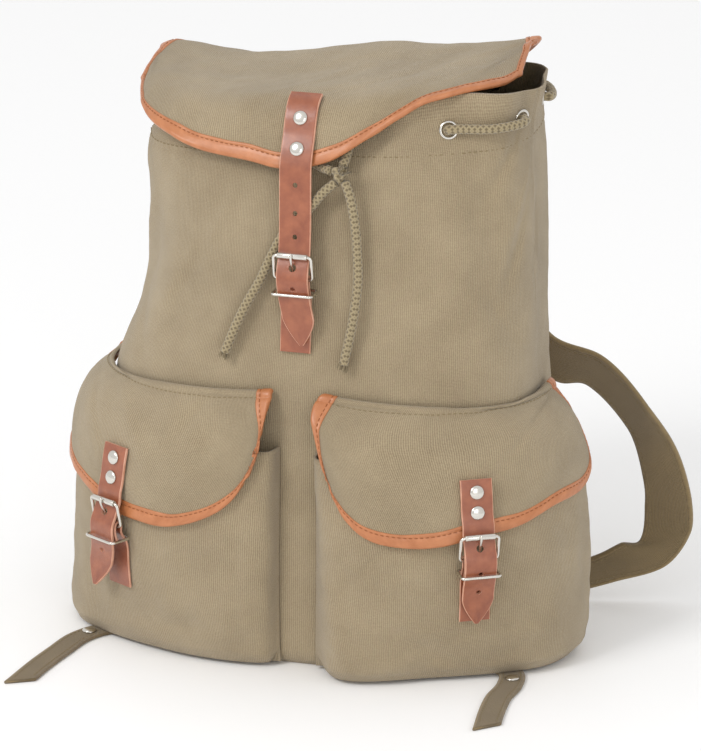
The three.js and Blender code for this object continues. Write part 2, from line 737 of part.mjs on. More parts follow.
// A point of the outer face of a pocket: along runs from its inner seam, round its front, to its outer seam.
function pocketPoint(side, along, z) {
  const table = pocketSections[side];
  const height = z / pocketSeamHeight;
  const at = (column) => read(table, "height", height, column);
  const corner = (name) => new THREE.Vector3(
    sides[side].sign * at(`${name}X`) * halfWidth, -at(`${name}Y`) * halfDepth, z);
  return new THREE.CatmullRomCurve3([
    bagAt(seamTurn(side, 0), z, innerSeamGap),
    corner("inner"), corner("belly"), corner("outer"), corner("side"),
    bagAt(seamTurn(side, 1), z, outerSeamGap),
  ]).getPoint(along);
}

const pocketAlong = [0, 0.1, 0.17, 0.23, 0.31, 0.4, 0.48, 0.55, 0.61, 0.68, 0.78, 0.89, 1];
const pocketRows = [1, 0.82, 0.62, 0.42, 0.22, 0.08, 0.02, 0];
const pocketBottomRows = [0.5, 1];
const cornerRise = 9;
const pocketFootShare = 0.022;

function pocketGrid(side) {
  return pocketAlong.map((along) => {
    const nearSeam = 1 - ease(Math.min(along, 1 - along) / 0.14);
    const low = pocketFloor + cornerRise * nearSeam;
    const wall = pocketRows.map((share) => pocketPoint(side, along, mix(low, pocketHeight, share)));
    const foot = bagPoint(seamTurn(side, along), pocketFootShare, mix(innerSeamGap, outerSeamGap, along));
    foot.z = pocketFloor;
    const under = pocketBottomRows.map((share) => wall[wall.length - 1].clone().lerp(foot, share));
    return [...wall, ...under];
  });
}

function outwardNormals(grid, centre) {
  const normals = gridNormals(grid);
  const middle = Math.floor(grid.length / 2);
  const away = grid[middle][4].clone().sub(centre);
  const flip = normals[middle][4].dot(away) < 0 ? -1 : 1;
  for (const row of normals) row.forEach((normal) => normal.multiplyScalar(flip));
  return normals;
}

for (const side of ["left", "right"]) {
  const grid = pocketGrid(side);
  const centre = new THREE.Vector3(sides[side].sign * halfWidth * 0.5, 0, pocketHeight / 2);
  addPiece(`pocket_${side}`, sheet(grid, 0, () => clothThickness, outwardNormals(grid, centre)), canvas);
}

// The pocket flaps

// A column for each station across a flap: where it starts along its seam, and where its edge lies
// along the pocket and in height, as shares of the height of the pocket's seam.
const pocketFlapColumns = [
  { station: 0.0, seam: 0.03, start: 0.2, edge: 0.238, right: 0.765, left: 0.82 },
  { station: 0.1, seam: 0.08, start: 0.225, edge: 0.262, right: 0.645, left: 0.68 },
  { station: 0.22, seam: 0.15, start: 0.255, edge: 0.3, right: 0.568, left: 0.59 },
  { station: 0.36, seam: 0.25, start: 0.3, edge: 0.36, right: 0.541, left: 0.53 },
  { station: 0.48, seam: 0.37, start: 0.39, edge: 0.42, right: 0.546, left: 0.53 },
  { station: 0.6, seam: 0.5, start: 0.51, edge: 0.48, right: 0.574, left: 0.541 },
  { station: 0.7, seam: 0.62, start: 0.63, edge: 0.54, right: 0.59, left: 0.585 },
  { station: 0.8, seam: 0.74, start: 0.75, edge: 0.62, right: 0.634, left: 0.628 },
  { station: 0.9, seam: 0.87, start: 0.87, edge: 0.72, right: 0.65, left: 0.65 },
  { station: 1.0, seam: 1.0, start: 0.97, edge: 0.81, right: 0.727, left: 0.727 },
];
const seamSlope = { inner: 4, outer: -6 };
const tuckDepth = 3.2;

function pocketFlapPoint(side, station, down) {
  const at = (column) => read(pocketFlapColumns, "station", station, column);
  const seamZ = pocketSeamHeight + mix(seamSlope.inner, seamSlope.outer, station);
  const z = mix(seamZ, at(side) * pocketSeamHeight, down);
  const along = mix(at("start"), at("edge"), down);
  const low = pocketPoint(side, along, z - 1);
  const high = pocketPoint(side, along, z + 1);
  const before = pocketPoint(side, Math.max(along - 0.01, 0), z);
  const after = pocketPoint(side, Math.min(along + 0.01, 1), z);
  const normal = new THREE.Vector3().crossVectors(after.sub(before), high.sub(low));
  normal.multiplyScalar(sides[side].sign).normalize();
  const lying = pocketPoint(side, along, z).addScaledVector(normal, pocketFlapStandoff);
  const seam = bagAt(seamTurn(side, at("seam")), seamZ, tuckDepth);
  return seam.lerp(lying, ease(down / 0.3));
}

for (const side of ["left", "right"]) {
  const grid = evenly(13).map((station) => evenly(6).map((down) => pocketFlapPoint(side, station, down)));
  const half = flapThickness / 2;
  addFlap(`pocket_flap_${side}`, grid, half, 1, (i, j) => (j === 0 ? tuckDepth - seamGap : half));
}

// The leather straps and their buckles

// Each set is made in a frame of its own: X runs across the strap, -Y out from the sack and +Z up,
// and the bar of the buckle lies at Z = 0.

function inFrame({ shift = 0, out, up }) {
  return new THREE.Vector3(shift, -out, up);
}

// The share of a falling curve's length at which it reaches a height.
function shareAt(curve, up) {
  let [low, high] = [0, 1];
  while (high - low > 1e-4) {
    const middle = (low + high) / 2;
    if (curve.getPointAt(middle).z > up) low = middle;
    else high = middle;
  }
  return low;
}

// A place on the outer face of a strap that runs down along a curve.
function onFace(curve, up, lift) {
  const share = shareAt(curve, up);
  const across = new THREE.Vector3(1, 0, 0);
  const face = new THREE.Vector3().crossVectors(curve.getTangentAt(share), across).normalize();
  return { position: curve.getPointAt(share).addScaledVector(face, lift), face };
}

function strapStations(curve, count, halfWidthAt) {
  return count.map((share) => ({
    centre: curve.getPointAt(share),
    along: curve.getTangentAt(share),
    half: new THREE.Vector3(halfWidthAt(share), 0, 0),
  }));
}

// A strap with a pointed tip and its holes.
function strap(curve, holes) {
  const length = curve.getLength();
  const tipStart = 1 - strapTipLength / length;
  const stations = [...evenly(12).map((share) => share * tipStart),
    ...[0.35, 0.65, 0.88, 1].map((share) => mix(tipStart, 1, share))];
  const halfAt = (share) => {
    const inTip = Math.max(0, (share - tipStart) / (1 - tipStart));
    return (strapWidth / 2) * (1 - 0.86 * inTip ** 1.5);
  };
  const punches = holes.map(({ up, radius }) => {
    const { position, face } = onFace(curve, up, 0);
    return placed(lathe([[0, -4], [radius, -4], [radius, 4], [0, 4]], 6), position, face);
  });
  return cut(ribbon(strapStations(curve, stations, halfAt), strapThickness), punches);
}

// The tab that holds the buckle: up behind its bar, over it, and a little way down in front.
function tabRows(bar, tabEnd) {
  const round = tabThickness / 2 + buckleWire + 0.7;
  return [
    ...tabEnd,
    { out: bar - round, up: -5 }, { out: bar - round, up: 0 },
    { out: bar - round * 0.7, up: round * 0.7 }, { out: bar, up: round },
    { out: bar + round * 0.7, up: round * 0.7 },
    { out: bar + round, up: 0 }, { out: bar + round, up: -5 }, { out: bar + 0.6, up: -11 },
  ];
}

function rivet() {
  const [r, h] = [rivetRadius, rivetHeight];
  return lathe([[0, 0], [r, 0], [r * 0.75, h * 0.75], [0, h]], 8);
}

// The corners of a rounded frame across X, between two places in out and up.
function frameCorners(half, centre, start, end, corner) {
  const at = (x, share) => inFrame({
    shift: centre + x, out: mix(start.out, end.out, share), up: mix(start.up, end.up, share),
  });
  const c = corner / Math.hypot(end.out - start.out, end.up - start.up);
  const inner = half - corner;
  return [at(-inner, 0), at(inner, 0), at(half, c), at(half, 1 - c),
    at(inner, 1), at(-inner, 1), at(-half, 1 - c), at(-half, c)];
}

function sleeve(inner, outer, length, position) {
  const half = length / 2;
  const outline = [[inner, -half], [outer, -half], [outer, half], [inner, half], [inner, -half]];
  return placed(lathe(outline, 8), position, new THREE.Vector3(1, 0, 0));
}

// Adds a strap set; plan holds its rows and places.
function addStrapSet(name, plan) {
  const frame = new THREE.Group();
  frame.position.copy(plan.origin);
  frame.rotation.z = THREE.MathUtils.degToRad(plan.turn);
  rucksack.add(frame);
  const { bar, roller } = plan;

  const strapCurve = new THREE.CatmullRomCurve3(plan.rows.map(inFrame));
  const holes = plan.holes.map((up) => ({ up, radius: strapHoleRadius }));
  holes.push({ up: prongHole, radius: strapHoleRadius + 0.8 });
  addPiece(`${name}_strap`, strap(strapCurve, holes), leather, frame);

  const tabCurve = new THREE.CatmullRomCurve3(tabRows(bar, plan.tabEnd).map(inFrame));
  const tabStations = strapStations(tabCurve, evenly(18), () => strapWidth / 2 - 0.4);
  const slot = new THREE.BoxGeometry(5, 8, 7).translate(0, -bar, 0.6);
  addPiece(`${name}_tab`, cut(ribbon(tabStations, tabThickness), [slot]), leather, frame);

  const [low, high] = [{ out: bar, up: 0 }, { out: roller, up: buckleLength }];
  const frameOutline = frameCorners(buckleHalfWidth, 0, low, high, 2.2);
  addPiece(`${name}_buckle`, wireLoop(frameOutline, buckleWire, 6), nickel, frame);
  const rollerLength = 2 * (buckleHalfWidth - 2.6);
  addPiece(`${name}_roller`, sleeve(buckleWire + leatherGap, rollerRadius, rollerLength, inFrame(high)),
    nickel, frame);
  const prongRows = [{ out: bar + 0.9, up: 1.4 }, { out: bar + 1.2, up: 5.2 }, { out: bar + 2.6, up: 8.6 },
    { out: bar + 4.6, up: 11.6 }, { out: roller + 3.1, up: 16 }, { out: roller + 2.7, up: 18.6 }];
  const prong = join([sleeve(buckleWire + 0.2, buckleWire + 1, 3, inFrame(low)),
    rod(prongRows.map(inFrame), prongRadius, 7, 5)]);
  addPiece(`${name}_prong`, prong, nickel, frame);

  const { up, back, front, centre, half } = plan.keeper;
  const keeperOutline = frameCorners(half, centre, { out: back, up }, { out: front, up }, 1.8);
  addPiece(`${name}_keeper`, wireLoop(keeperOutline, keeperWire, 6), nickel, frame);

  plan.rivets.forEach((height, k) => {
    const { position, face } = onFace(strapCurve, height, strapThickness / 2 + leatherGap + 0.2);
    addPiece(`${name}_rivet_${k + 1}`, placed(rivet(), position, face), nickel, frame);
  });
  return { frame, tabCurve };
}

// The main strap lies on the lid flap from its top rivet down to the flap's edge.
const mainBarBelowTop = 103;
const mainOrigin = new THREE.Vector3(0, 12 - halfDepth, bagHeight - mainBarBelowTop);
const strapRib = flapRib(0.492);
const mainLifts = [[0.77, 3.8], [0.8, 4.1], [0.84, 3.5], [0.9, 3.4], [0.95, 5.4], [1, 5.6]];
const onFlap = mainLifts.map(([share, lift]) => {
  const tangent = strapRib.getTangent(share);
  const face = new THREE.Vector3(0, tangent.z, -tangent.y).normalize();
  const place = strapRib.getPoint(share).addScaledVector(face, lift).sub(mainOrigin);
  return { shift: -1, out: -place.y, up: place.z };
});
addStrapSet("main", {
  origin: mainOrigin,
  turn: 0,
  bar: 10.5,
  roller: 13.5,
  rows: [
    ...onFlap,
    { shift: -0.6, out: 3.5, up: 59 }, { shift: 0, out: 6, up: 37 }, { shift: 0.3, out: 8.3, up: 22 },
    { shift: 0.3, out: 9.5, up: 16 }, { shift: 0.3, out: 13.5, up: 7 }, { shift: 0.6, out: 15.5, up: 0 },
    { shift: 1.4, out: 14, up: -11 }, { shift: 3.4, out: 10.5, up: -28 }, { shift: 5, out: 9.5, up: -44 },
  ],
  tabEnd: [{ out: 6.8, up: -50 }, { out: 4.8, up: -30 }, { out: 4.4, up: -14 }],
  holes: [60, 42, 27, -5],
  keeper: { up: -9, back: 2.8, front: 17.4, centre: 0.7, half: 13.2 },
  rivets: [100, 82],
});

// The pocket straps: rows give the standoff from the pocket's face at each height above the bar.
const pocketStrapAlong = 0.47;
const pocketBarHeight = 91;
const pocketStraps = {
  right: {
    turn: 30,
    rows: [
      { up: 51, standoff: 6.4, shift: 0 }, { up: 43, standoff: 6.4, shift: 0 },
      { up: 28, standoff: 6.7, shift: 0 },
      { up: 22, standoff: 8, shift: 0.2 }, { up: 16, standoff: 8.2, shift: 0.2 },
      { up: 7, standoff: 11.4, shift: 0.2 },
      { up: 0, standoff: 14, shift: 0.2 }, { up: -9, standoff: 13.4, shift: 0 },
      { up: -20, standoff: 9.4, shift: 0 },
      { up: -45, standoff: 6.5, shift: 0 },
    ],
    holes: [-8, -22],
    rivets: [43, 30],
  },
  left: {
    turn: -30,
    rows: [
      { up: 51, standoff: 6.4, shift: 0 }, { up: 43, standoff: 6.4, shift: 0 },
      { up: 28, standoff: 6.7, shift: 0 },
      { up: 22, standoff: 8, shift: 0.2 }, { up: 16, standoff: 8.2, shift: 0.2 },
      { up: 7, standoff: 11.4, shift: 0.2 },
      { up: 0, standoff: 14, shift: 0 }, { up: -9, standoff: 13.4, shift: -0.8 },
      { up: -20, standoff: 11, shift: -4 },
      { up: -33, standoff: 11, shift: -8 }, { up: -45, standoff: 14, shift: -11 },
    ],
    holes: [-19],
    rivets: [43, 30],
  },
};

for (const side of ["left", "right"]) {
  const { turn, rows, holes, rivets } = pocketStraps[side];
  const origin = pocketPoint(side, pocketStrapAlong, pocketBarHeight);
  const angle = THREE.MathUtils.degToRad(turn);
  const outward = new THREE.Vector3(Math.sin(angle), -Math.cos(angle), 0);
  const faceAt = (up) => pocketPoint(side, pocketStrapAlong, pocketBarHeight + up).sub(origin).dot(outward);
  addStrapSet(`pocket_${side}`, {
    origin,
    turn,
    bar: 8.6,
    roller: 11.8,
    rows: rows.map(({ up, standoff, shift }) => ({ up, shift, out: faceAt(up) + standoff })),
    tabEnd: [-45, -30, -14].map((up) => ({ up, out: faceAt(up) + 1.6 })),
    holes,
    keeper: { up: -9.5, back: 1.4, front: 16.8, centre: 0, half: 12.6 },
    rivets,
  });
}

// The shoulder straps

// The middle of a strap down its length and half of its width as a direction.
const shoulderRightRows = [
  { x: 25, y: 78.8, z: 312, acrossX: 15, acrossY: 0, acrossZ: 8.6 },
  { x: 75, y: 92, z: 245, acrossX: 13.6, acrossY: -3.4, acrossZ: 9.4 },
  { x: 126, y: 98, z: 165, acrossX: 1.6, acrossY: -5.6, acrossZ: 16.8 },
  { x: 154.5, y: 100, z: 157.5, acrossX: 7, acrossY: -9.2, acrossZ: 13.4 },
  { x: 184, y: 100, z: 128, acrossX: 7.9, acrossY: -9.7, acrossZ: 12.6 },
  { x: 200, y: 100, z: 96, acrossX: 11.9, acrossY: -3.6, acrossZ: 12.7 },
  { x: 206, y: 100, z: 69.5, acrossX: 16.6, acrossY: -3.5, acrossZ: 4.5 },
  { x: 204, y: 100, z: 44.5, acrossX: 17.1, acrossY: -0.5, acrossZ: 3.5 },
  { x: 190, y: 97, z: 32, acrossX: 14.5, acrossY: 3, acrossZ: -8 },
  { x: 168, y: 91, z: 23, acrossX: 5, acrossY: 1, acrossZ: -10 },
  { x: 150, y: 85, z: 17, acrossX: 2, acrossY: 0, acrossZ: -10 },
];
const shoulderLeftRows = [
  { x: -25, y: 78.8, z: 312, acrossX: -15, acrossY: 0, acrossZ: 8.6 },
  { x: -60, y: 95, z: 270, acrossX: -14, acrossY: 0, acrossZ: 10 },
  { x: -95, y: 112, z: 190, acrossX: -16, acrossY: 2, acrossZ: 5 },
  { x: -108, y: 116, z: 120, acrossX: -17, acrossY: 2, acrossZ: 0 },
  { x: -112, y: 108, z: 60, acrossX: -15, acrossY: 2, acrossZ: -3 },
  { x: -126, y: 94, z: 27, acrossX: -9, acrossY: 2, acrossZ: -7 },
  { x: -146, y: 84, z: 15, acrossX: -3, acrossY: 1, acrossZ: -9 },
];

// Heights are given for a sack 366 mm high, and places for a sack 280 mm wide and 160 mm deep.
function shoulderStrap(rows) {
  const middle = new THREE.CatmullRomCurve3(rows.map(({ x, y, z }) =>
    new THREE.Vector3(x * (bagWidth / 280), y + halfDepth - 80, z * (bagHeight / 366))));
  const across = new THREE.CatmullRomCurve3(rows.map(({ acrossX, acrossY, acrossZ }) =>
    new THREE.Vector3(acrossX, acrossY, acrossZ)));
  const stations = evenly(2 * (rows.length - 1)).map((share) => ({
    centre: middle.getPoint(share),
    along: middle.getTangent(share),
    half: across.getPoint(share),
  }));
  return ribbon(stations, shoulderThickness);
}

addPiece("shoulder_strap_right", shoulderStrap(shoulderRightRows), canvas);
addPiece("shoulder_strap_left", shoulderStrap(shoulderLeftRows), canvas);

// The lower straps, which lie loose on the floor in front of the sack. Their points are chosen by
// hand: how far they lie out from the sack's side and forward of its front.

const lowerStraps = {
  left: {
    sign: -1,
    route: [[-17.5, -32.5], [-3, -24], [8.5, -6], [14, 22], [18, 48], [21, 77]],
    rivet: [5, -15],
  },
  right: {
    sign: 1,
    route: [[-17, -35], [-1, -23], [3.5, -2], [2, 20], [4, 46], [7, 68]],
    rivet: [3, -11],
  },
};
const lowerStrapHeight = leatherGap + lowerStrapThickness / 2;

function onFloor(sign, [out, forward], z) {
  return new THREE.Vector3(sign * (halfWidth + out), -halfDepth - forward, z);
}

for (const side of ["left", "right"]) {
  const { sign, route, rivet: rivetPlace } = lowerStraps[side];
  const curve = new THREE.CatmullRomCurve3(route.map((place) => onFloor(sign, place, lowerStrapHeight)));
  const stations = evenly(10).map((share) => {
    const along = curve.getTangentAt(share);
    const half = new THREE.Vector3(along.y, -along.x, 0).setLength(lowerStrapWidth / 2);
    if (share === 1) half.addScaledVector(along, lowerStrapSlant);
    return { centre: curve.getPointAt(share), along, half };
  });
  addPiece(`lower_strap_${side}`, ribbon(stations, lowerStrapThickness), canvas);
  const place = onFloor(sign, rivetPlace, 2 * lowerStrapHeight);
  addPiece(`lower_strap_${side}_rivet`, placed(rivet(), place, new THREE.Vector3(0, 0, 1)), nickel);
}

export default rucksack;
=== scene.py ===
# %% [markdown]
# # A canvas rucksack
#
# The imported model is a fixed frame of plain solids. Each soft piece is made again here from the
# same named sizes at a much finer step, with its folds, weave, stitching and wear, and it takes
# the place of its solid. Sizes are in millimetres and turn into metres where a mesh is made.

# %% The frame
import json
import math

import bmesh
import bpy
import numpy as np
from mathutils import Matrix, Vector

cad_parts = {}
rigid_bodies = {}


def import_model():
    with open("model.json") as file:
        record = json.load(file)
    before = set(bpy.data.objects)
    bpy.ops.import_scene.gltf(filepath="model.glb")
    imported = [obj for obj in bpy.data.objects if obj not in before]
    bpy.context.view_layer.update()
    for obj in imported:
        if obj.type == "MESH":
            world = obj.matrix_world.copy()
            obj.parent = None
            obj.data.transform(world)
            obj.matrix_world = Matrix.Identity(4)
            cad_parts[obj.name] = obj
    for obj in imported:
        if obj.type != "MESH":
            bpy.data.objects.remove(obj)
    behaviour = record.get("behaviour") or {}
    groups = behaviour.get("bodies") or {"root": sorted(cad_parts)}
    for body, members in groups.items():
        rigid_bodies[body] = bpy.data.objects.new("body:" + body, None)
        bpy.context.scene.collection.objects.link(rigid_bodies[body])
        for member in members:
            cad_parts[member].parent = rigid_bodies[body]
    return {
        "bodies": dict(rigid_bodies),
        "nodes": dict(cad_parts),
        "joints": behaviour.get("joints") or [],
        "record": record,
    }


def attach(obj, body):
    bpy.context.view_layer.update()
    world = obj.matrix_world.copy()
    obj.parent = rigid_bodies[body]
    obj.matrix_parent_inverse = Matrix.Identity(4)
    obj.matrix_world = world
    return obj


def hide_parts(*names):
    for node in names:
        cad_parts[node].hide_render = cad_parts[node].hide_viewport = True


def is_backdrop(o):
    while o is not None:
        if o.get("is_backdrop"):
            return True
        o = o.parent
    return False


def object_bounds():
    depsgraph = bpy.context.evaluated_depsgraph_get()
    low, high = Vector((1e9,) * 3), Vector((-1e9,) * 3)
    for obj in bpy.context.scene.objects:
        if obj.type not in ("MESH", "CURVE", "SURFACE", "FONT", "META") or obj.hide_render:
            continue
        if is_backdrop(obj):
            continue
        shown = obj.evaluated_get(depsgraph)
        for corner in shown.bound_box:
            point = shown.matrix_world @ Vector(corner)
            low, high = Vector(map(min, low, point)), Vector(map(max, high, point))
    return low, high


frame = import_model()
cad_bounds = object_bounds()
MM = 0.001
print("nodes in the frame:", len(frame["nodes"]))

# %% [markdown]
# ## Camera
#
# The photograph looks at the front from a little to its right and from above. The camera stands
# far away, as a product camera does.

# %% The camera
CAMERA_SIDE, CAMERA_RISE = math.radians(16), math.radians(19)
CAMERA_DISTANCE = 3.6
LENS_MM = 264
LOOK_ASIDE, LOOK_MIDDLE, LOOK_HEIGHT = 11.2, 12.0, 168.5

look_at = Vector((LOOK_ASIDE * math.cos(CAMERA_SIDE),
                  LOOK_MIDDLE + LOOK_ASIDE * math.sin(CAMERA_SIDE), LOOK_HEIGHT)) * MM
back = Vector((math.sin(CAMERA_SIDE) * math.cos(CAMERA_RISE),
               -math.cos(CAMERA_SIDE) * math.cos(CAMERA_RISE), math.sin(CAMERA_RISE)))
camera = bpy.data.objects.new("camera", bpy.data.cameras.new("camera"))
camera.data.lens = LENS_MM
camera.data.clip_end = 20
camera.location = look_at + back * CAMERA_DISTANCE
camera.rotation_euler = back.to_track_quat("Z", "Y").to_euler()
bpy.context.collection.objects.link(camera)
bpy.context.scene.camera = camera
print("camera at", tuple(round(v, 3) for v in camera.location))

# %% [markdown]
# ## Small tools for curves and tables
#
# `Table` reads its columns smoothly between its rows. `curve_at` is a centripetal curve through
# points: each point may itself be a whole array, so one call can bend a sheet.


# %% Curves and tables
class Table:
    """Rows under named columns, read smoothly between the rows by the first column."""

    def __init__(self, columns, *rows):
        self.columns = columns.split()
        self.rows = np.array(rows, float)
        self.keys = self.rows[:, 0]

    def read(self, column, at):
        values = self.rows[:, self.columns.index(column)]
        keys, last = self.keys, len(self.keys) - 1
        places = np.arange(last + 1)
        before, after = np.maximum(places - 1, 0), np.minimum(places + 1, last)
        slopes = (values[after] - values[before]) / (keys[after] - keys[before])
        at = np.clip(at, keys[0], keys[-1])
        i = np.clip(np.searchsorted(keys, at, side="right") - 1, 0, last - 1)
        span = keys[i + 1] - keys[i]
        s = (at - keys[i]) / span
        return ((1 + 2 * s) * (1 - s) ** 2 * values[i] + s * (1 - s) ** 2 * span * slopes[i]
                + s * s * (3 - 2 * s) * values[i + 1] + s * s * (s - 1) * span * slopes[i + 1])


def mix(a, b, share):
    return a + (b - a) * share


def ease(share):
    s = np.clip(share, 0, 1)
    return s * s * (3 - 2 * s)


def vector(x, y, z):
    return np.stack(np.broadcast_arrays(np.asarray(x, float), y, z), -1)


def unit(v):
    return v / np.maximum(np.linalg.norm(v, axis=-1, keepdims=True), 1e-9)


def row_lengths(points):
    """The distance to each point of a row, measured along the row."""
    return np.concatenate([[0], np.cumsum(np.linalg.norm(np.diff(points, axis=0), axis=1))])


def curve_at(points, share):
    """The place on a centripetal curve through the points; share may be an array."""
    share = np.asarray(share, float)
    p = np.stack([np.broadcast_to(np.asarray(q, float), share.shape + (3,)) for q in points])
    q = np.concatenate([(2 * p[0] - p[1])[None], p, (2 * p[-1] - p[-2])[None]])
    pieces = len(points) - 1
    place = np.clip(share, 0, 1) * pieces
    i = np.minimum(np.floor(place).astype(int), pieces - 1)
    w = (place - i)[..., None]
    x0, x1, x2, x3 = (np.take_along_axis(q, (i + k)[None, ..., None], axis=0)[0] for k in range(4))
    d0, d1, d2 = (np.maximum(np.linalg.norm(b - a, axis=-1, keepdims=True) ** 0.5, 1e-4)
                  for a, b in ((x0, x1), (x1, x2), (x2, x3)))
    t1 = ((x1 - x0) / d0 - (x2 - x0) / (d0 + d1) + (x2 - x1) / d1) * d1
    t2 = ((x2 - x1) / d1 - (x3 - x1) / (d1 + d2) + (x3 - x2) / d2) * d1
    return (x1 + t1 * w + (-3 * x1 + 3 * x2 - 2 * t1 - t2) * w ** 2
            + (2 * x1 - 2 * x2 + t1 + t2) * w ** 3)


class Route:
    """A curve through points, walked by its real length."""

    def __init__(self, points, steps=600):
        self.points = curve_at(points, np.linspace(0, 1, steps))
        self.lengths = row_lengths(self.points)
        self.length = self.lengths[-1]

    def at(self, distance):
        return np.stack([np.interp(distance, self.lengths, self.points[:, k]) for k in range(3)], -1)

    def along(self, distance):
        ahead, behind = np.minimum(distance + 0.6, self.length), np.maximum(distance - 0.6, 0)
        return unit(self.at(ahead) - self.at(behind))

    def where(self, height):
        """The distance at which a falling route reaches a height."""
        return np.interp(-height, -self.points[:, 2], self.lengths)


def soft_noise(u, v, size, seed):
    """Smooth, repeatable unevenness from a few crossed waves, about -1 to 1."""
    rng = np.random.default_rng(seed)
    total = 0
    for _ in range(7):
        angle, phase = rng.uniform(0, math.pi), rng.uniform(0, 2 * math.pi)
        pitch = size * rng.uniform(0.6, 1.7)
        distance = u * math.cos(angle) + v * math.sin(angle)
        total = total + np.sin(distance * 2 * math.pi / pitch + phase)
    return total / 3.2


# %% [markdown]
# ## Small tools for meshes
#
# Every surface is a grid of points with a texture place in metres at each corner, so that weave
# and grain keep their real size on every piece.


# %% Mesh makers
def make_piece(name, points, faces, corner_uv, materials, nodes=(), material_index=None):
    """A smooth mesh that rides on the body, takes its finish from a slot and stands for its nodes."""
    mesh = bpy.data.meshes.new(name)
    points, faces = np.asarray(points, float).reshape(-1, 3) * MM, np.asarray(faces, int)
    sides = faces.shape[1]
    mesh.vertices.add(len(points))
    mesh.vertices.foreach_set("co", points.ravel())
    mesh.loops.add(faces.size)
    mesh.loops.foreach_set("vertex_index", faces.ravel())
    mesh.polygons.add(len(faces))
    mesh.polygons.foreach_set("loop_start", np.arange(len(faces)) * sides)
    mesh.polygons.foreach_set("use_smooth", np.ones(len(faces), bool))
    if material_index is not None:
        mesh.polygons.foreach_set("material_index", np.asarray(material_index, int))
    mesh.update(calc_edges=True)
    mesh.validate()
    layer = mesh.uv_layers.new(name="metres")
    layer.data.foreach_set("uv", (np.asarray(corner_uv, float) * MM).ravel())
    for material in materials:
        mesh.materials.append(material)
    piece = bpy.data.objects.new(name, mesh)
    bpy.context.collection.objects.link(piece)
    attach(piece, "root")
    if nodes:
        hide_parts(*nodes)
    return piece


def grid_faces(rows, columns, closed=False):
    """The four corners of each cell, as grid places and as rows and columns for the texture."""
    i, j = np.meshgrid(np.arange(rows - 1), np.arange(columns if closed else columns - 1), indexing="ij")
    i, j = i.ravel(), j.ravel()
    k = (j + 1) % columns if closed else j + 1
    faces = np.stack([i * columns + j, i * columns + k, (i + 1) * columns + k, (i + 1) * columns + j], -1)
    return faces, np.stack([i, i, i + 1, i + 1], -1), np.stack([j, j + 1, j + 1, j], -1)


def grid_normals(grid, facing=None):
    """The normals of a grid, turned to the side that it faces where one is given."""
    rows, columns = grid.shape[:2]
    normals = unit(np.cross(np.gradient(grid, axis=0), np.gradient(grid, axis=1)))
    if facing is not None and (normals[rows // 2, columns // 2] * np.asarray(facing)).sum() < 0:
        normals = -normals
    return normals


def step_lengths(grid, axis):
    """Distances along one direction of a grid, averaged over the other."""
    gaps = np.linalg.norm(np.diff(grid, axis=axis), axis=2).mean(axis=1 - axis)
    return np.concatenate([[0], np.cumsum(gaps)])


def cloth(name, grid, material, nodes, thickness, out, facing):
    """A sheet of cloth from a grid: its outer face lies out from the grid, the inner one under it."""
    rows, columns = grid.shape[:2]
    normals = grid_normals(grid, facing)
    turned = (np.cross(grid[1, 0] - grid[0, 0], grid[0, 1] - grid[0, 0]) * normals[0, 0]).sum() < 0
    outer, inner = grid + normals * out, grid + normals * (out - thickness)
    faces, fi, fj = grid_faces(rows, columns)
    u, v = step_lengths(grid, 1), step_lengths(grid, 0)
    uv = np.stack([u[fj], v[fi]], -1)
    count = rows * columns
    border = ([(i, 0) for i in range(rows)] + [(rows - 1, j) for j in range(1, columns)]
              + [(i, columns - 1) for i in range(rows - 2, -1, -1)]
              + [(0, j) for j in range(columns - 2, 0, -1)])
    rim = np.array([i * columns + j for i, j in border])
    rim_next = np.roll(rim, -1)
    rim_uv = np.array([(u[j], v[i]) for i, j in border])
    rim_uv_next = np.roll(rim_uv, -1, axis=0)
    outer_faces, rim_faces = faces, np.stack([rim, rim_next, rim_next + count, rim + count], -1)
    if not turned:
        outer_faces, uv_outer = faces[:, ::-1], uv[:, ::-1]
        rim_faces = rim_faces[:, ::-1]
    else:
        uv_outer = uv
    inner_faces = (outer_faces + count)[:, ::-1]
    side_uv = np.stack([rim_uv, rim_uv_next, rim_uv_next, rim_uv], 1)
    return make_piece(name, np.concatenate([outer.reshape(-1, 3), inner.reshape(-1, 3)]),
                      np.concatenate([outer_faces, inner_faces, rim_faces]),
                      np.concatenate([uv_outer, uv_outer[:, ::-1], side_uv]), [material], nodes)


def loft(name, loops, around, along, materials, nodes=(), caps=True, section_index=None):
    """A closed tube through rows of points: around and along are its texture distances."""
    if caps:
        ends = [np.broadcast_to(loops[row].mean(axis=0), loops[row].shape)[None] for row in (0, -1)]
        loops = np.concatenate([ends[0], loops, ends[1]])
        reach = [np.linalg.norm(loops[row] - loops[other], axis=1).mean()
                 for row, other in ((0, 1), (-1, -2))]
        along = np.concatenate([[along[0] - reach[0]], along, [along[-1] + reach[1]]])
        if section_index is not None and np.ndim(section_index) == 2:
            section_index = np.concatenate([section_index[:1], section_index, section_index[-1:]])
    rows, columns = loops.shape[:2]
    faces, fi, fj = grid_faces(rows, columns, closed=True)
    uv = np.stack([np.asarray(around)[fj], np.asarray(along)[fi]], -1)
    points = loops.reshape(-1, 3)
    index = np.zeros(len(faces), int)
    if section_index is not None:
        index = np.broadcast_to(section_index, (rows - 1, columns))[fi[:, 0], fj[:, 0]]
    if caps:
        index[fi[:, 0] == 0] = index[fi[:, 0] == rows - 2] = len(materials) - 1
    piece = make_piece(name, points, faces, uv, materials, nodes, index)
    clean(piece)
    return piece


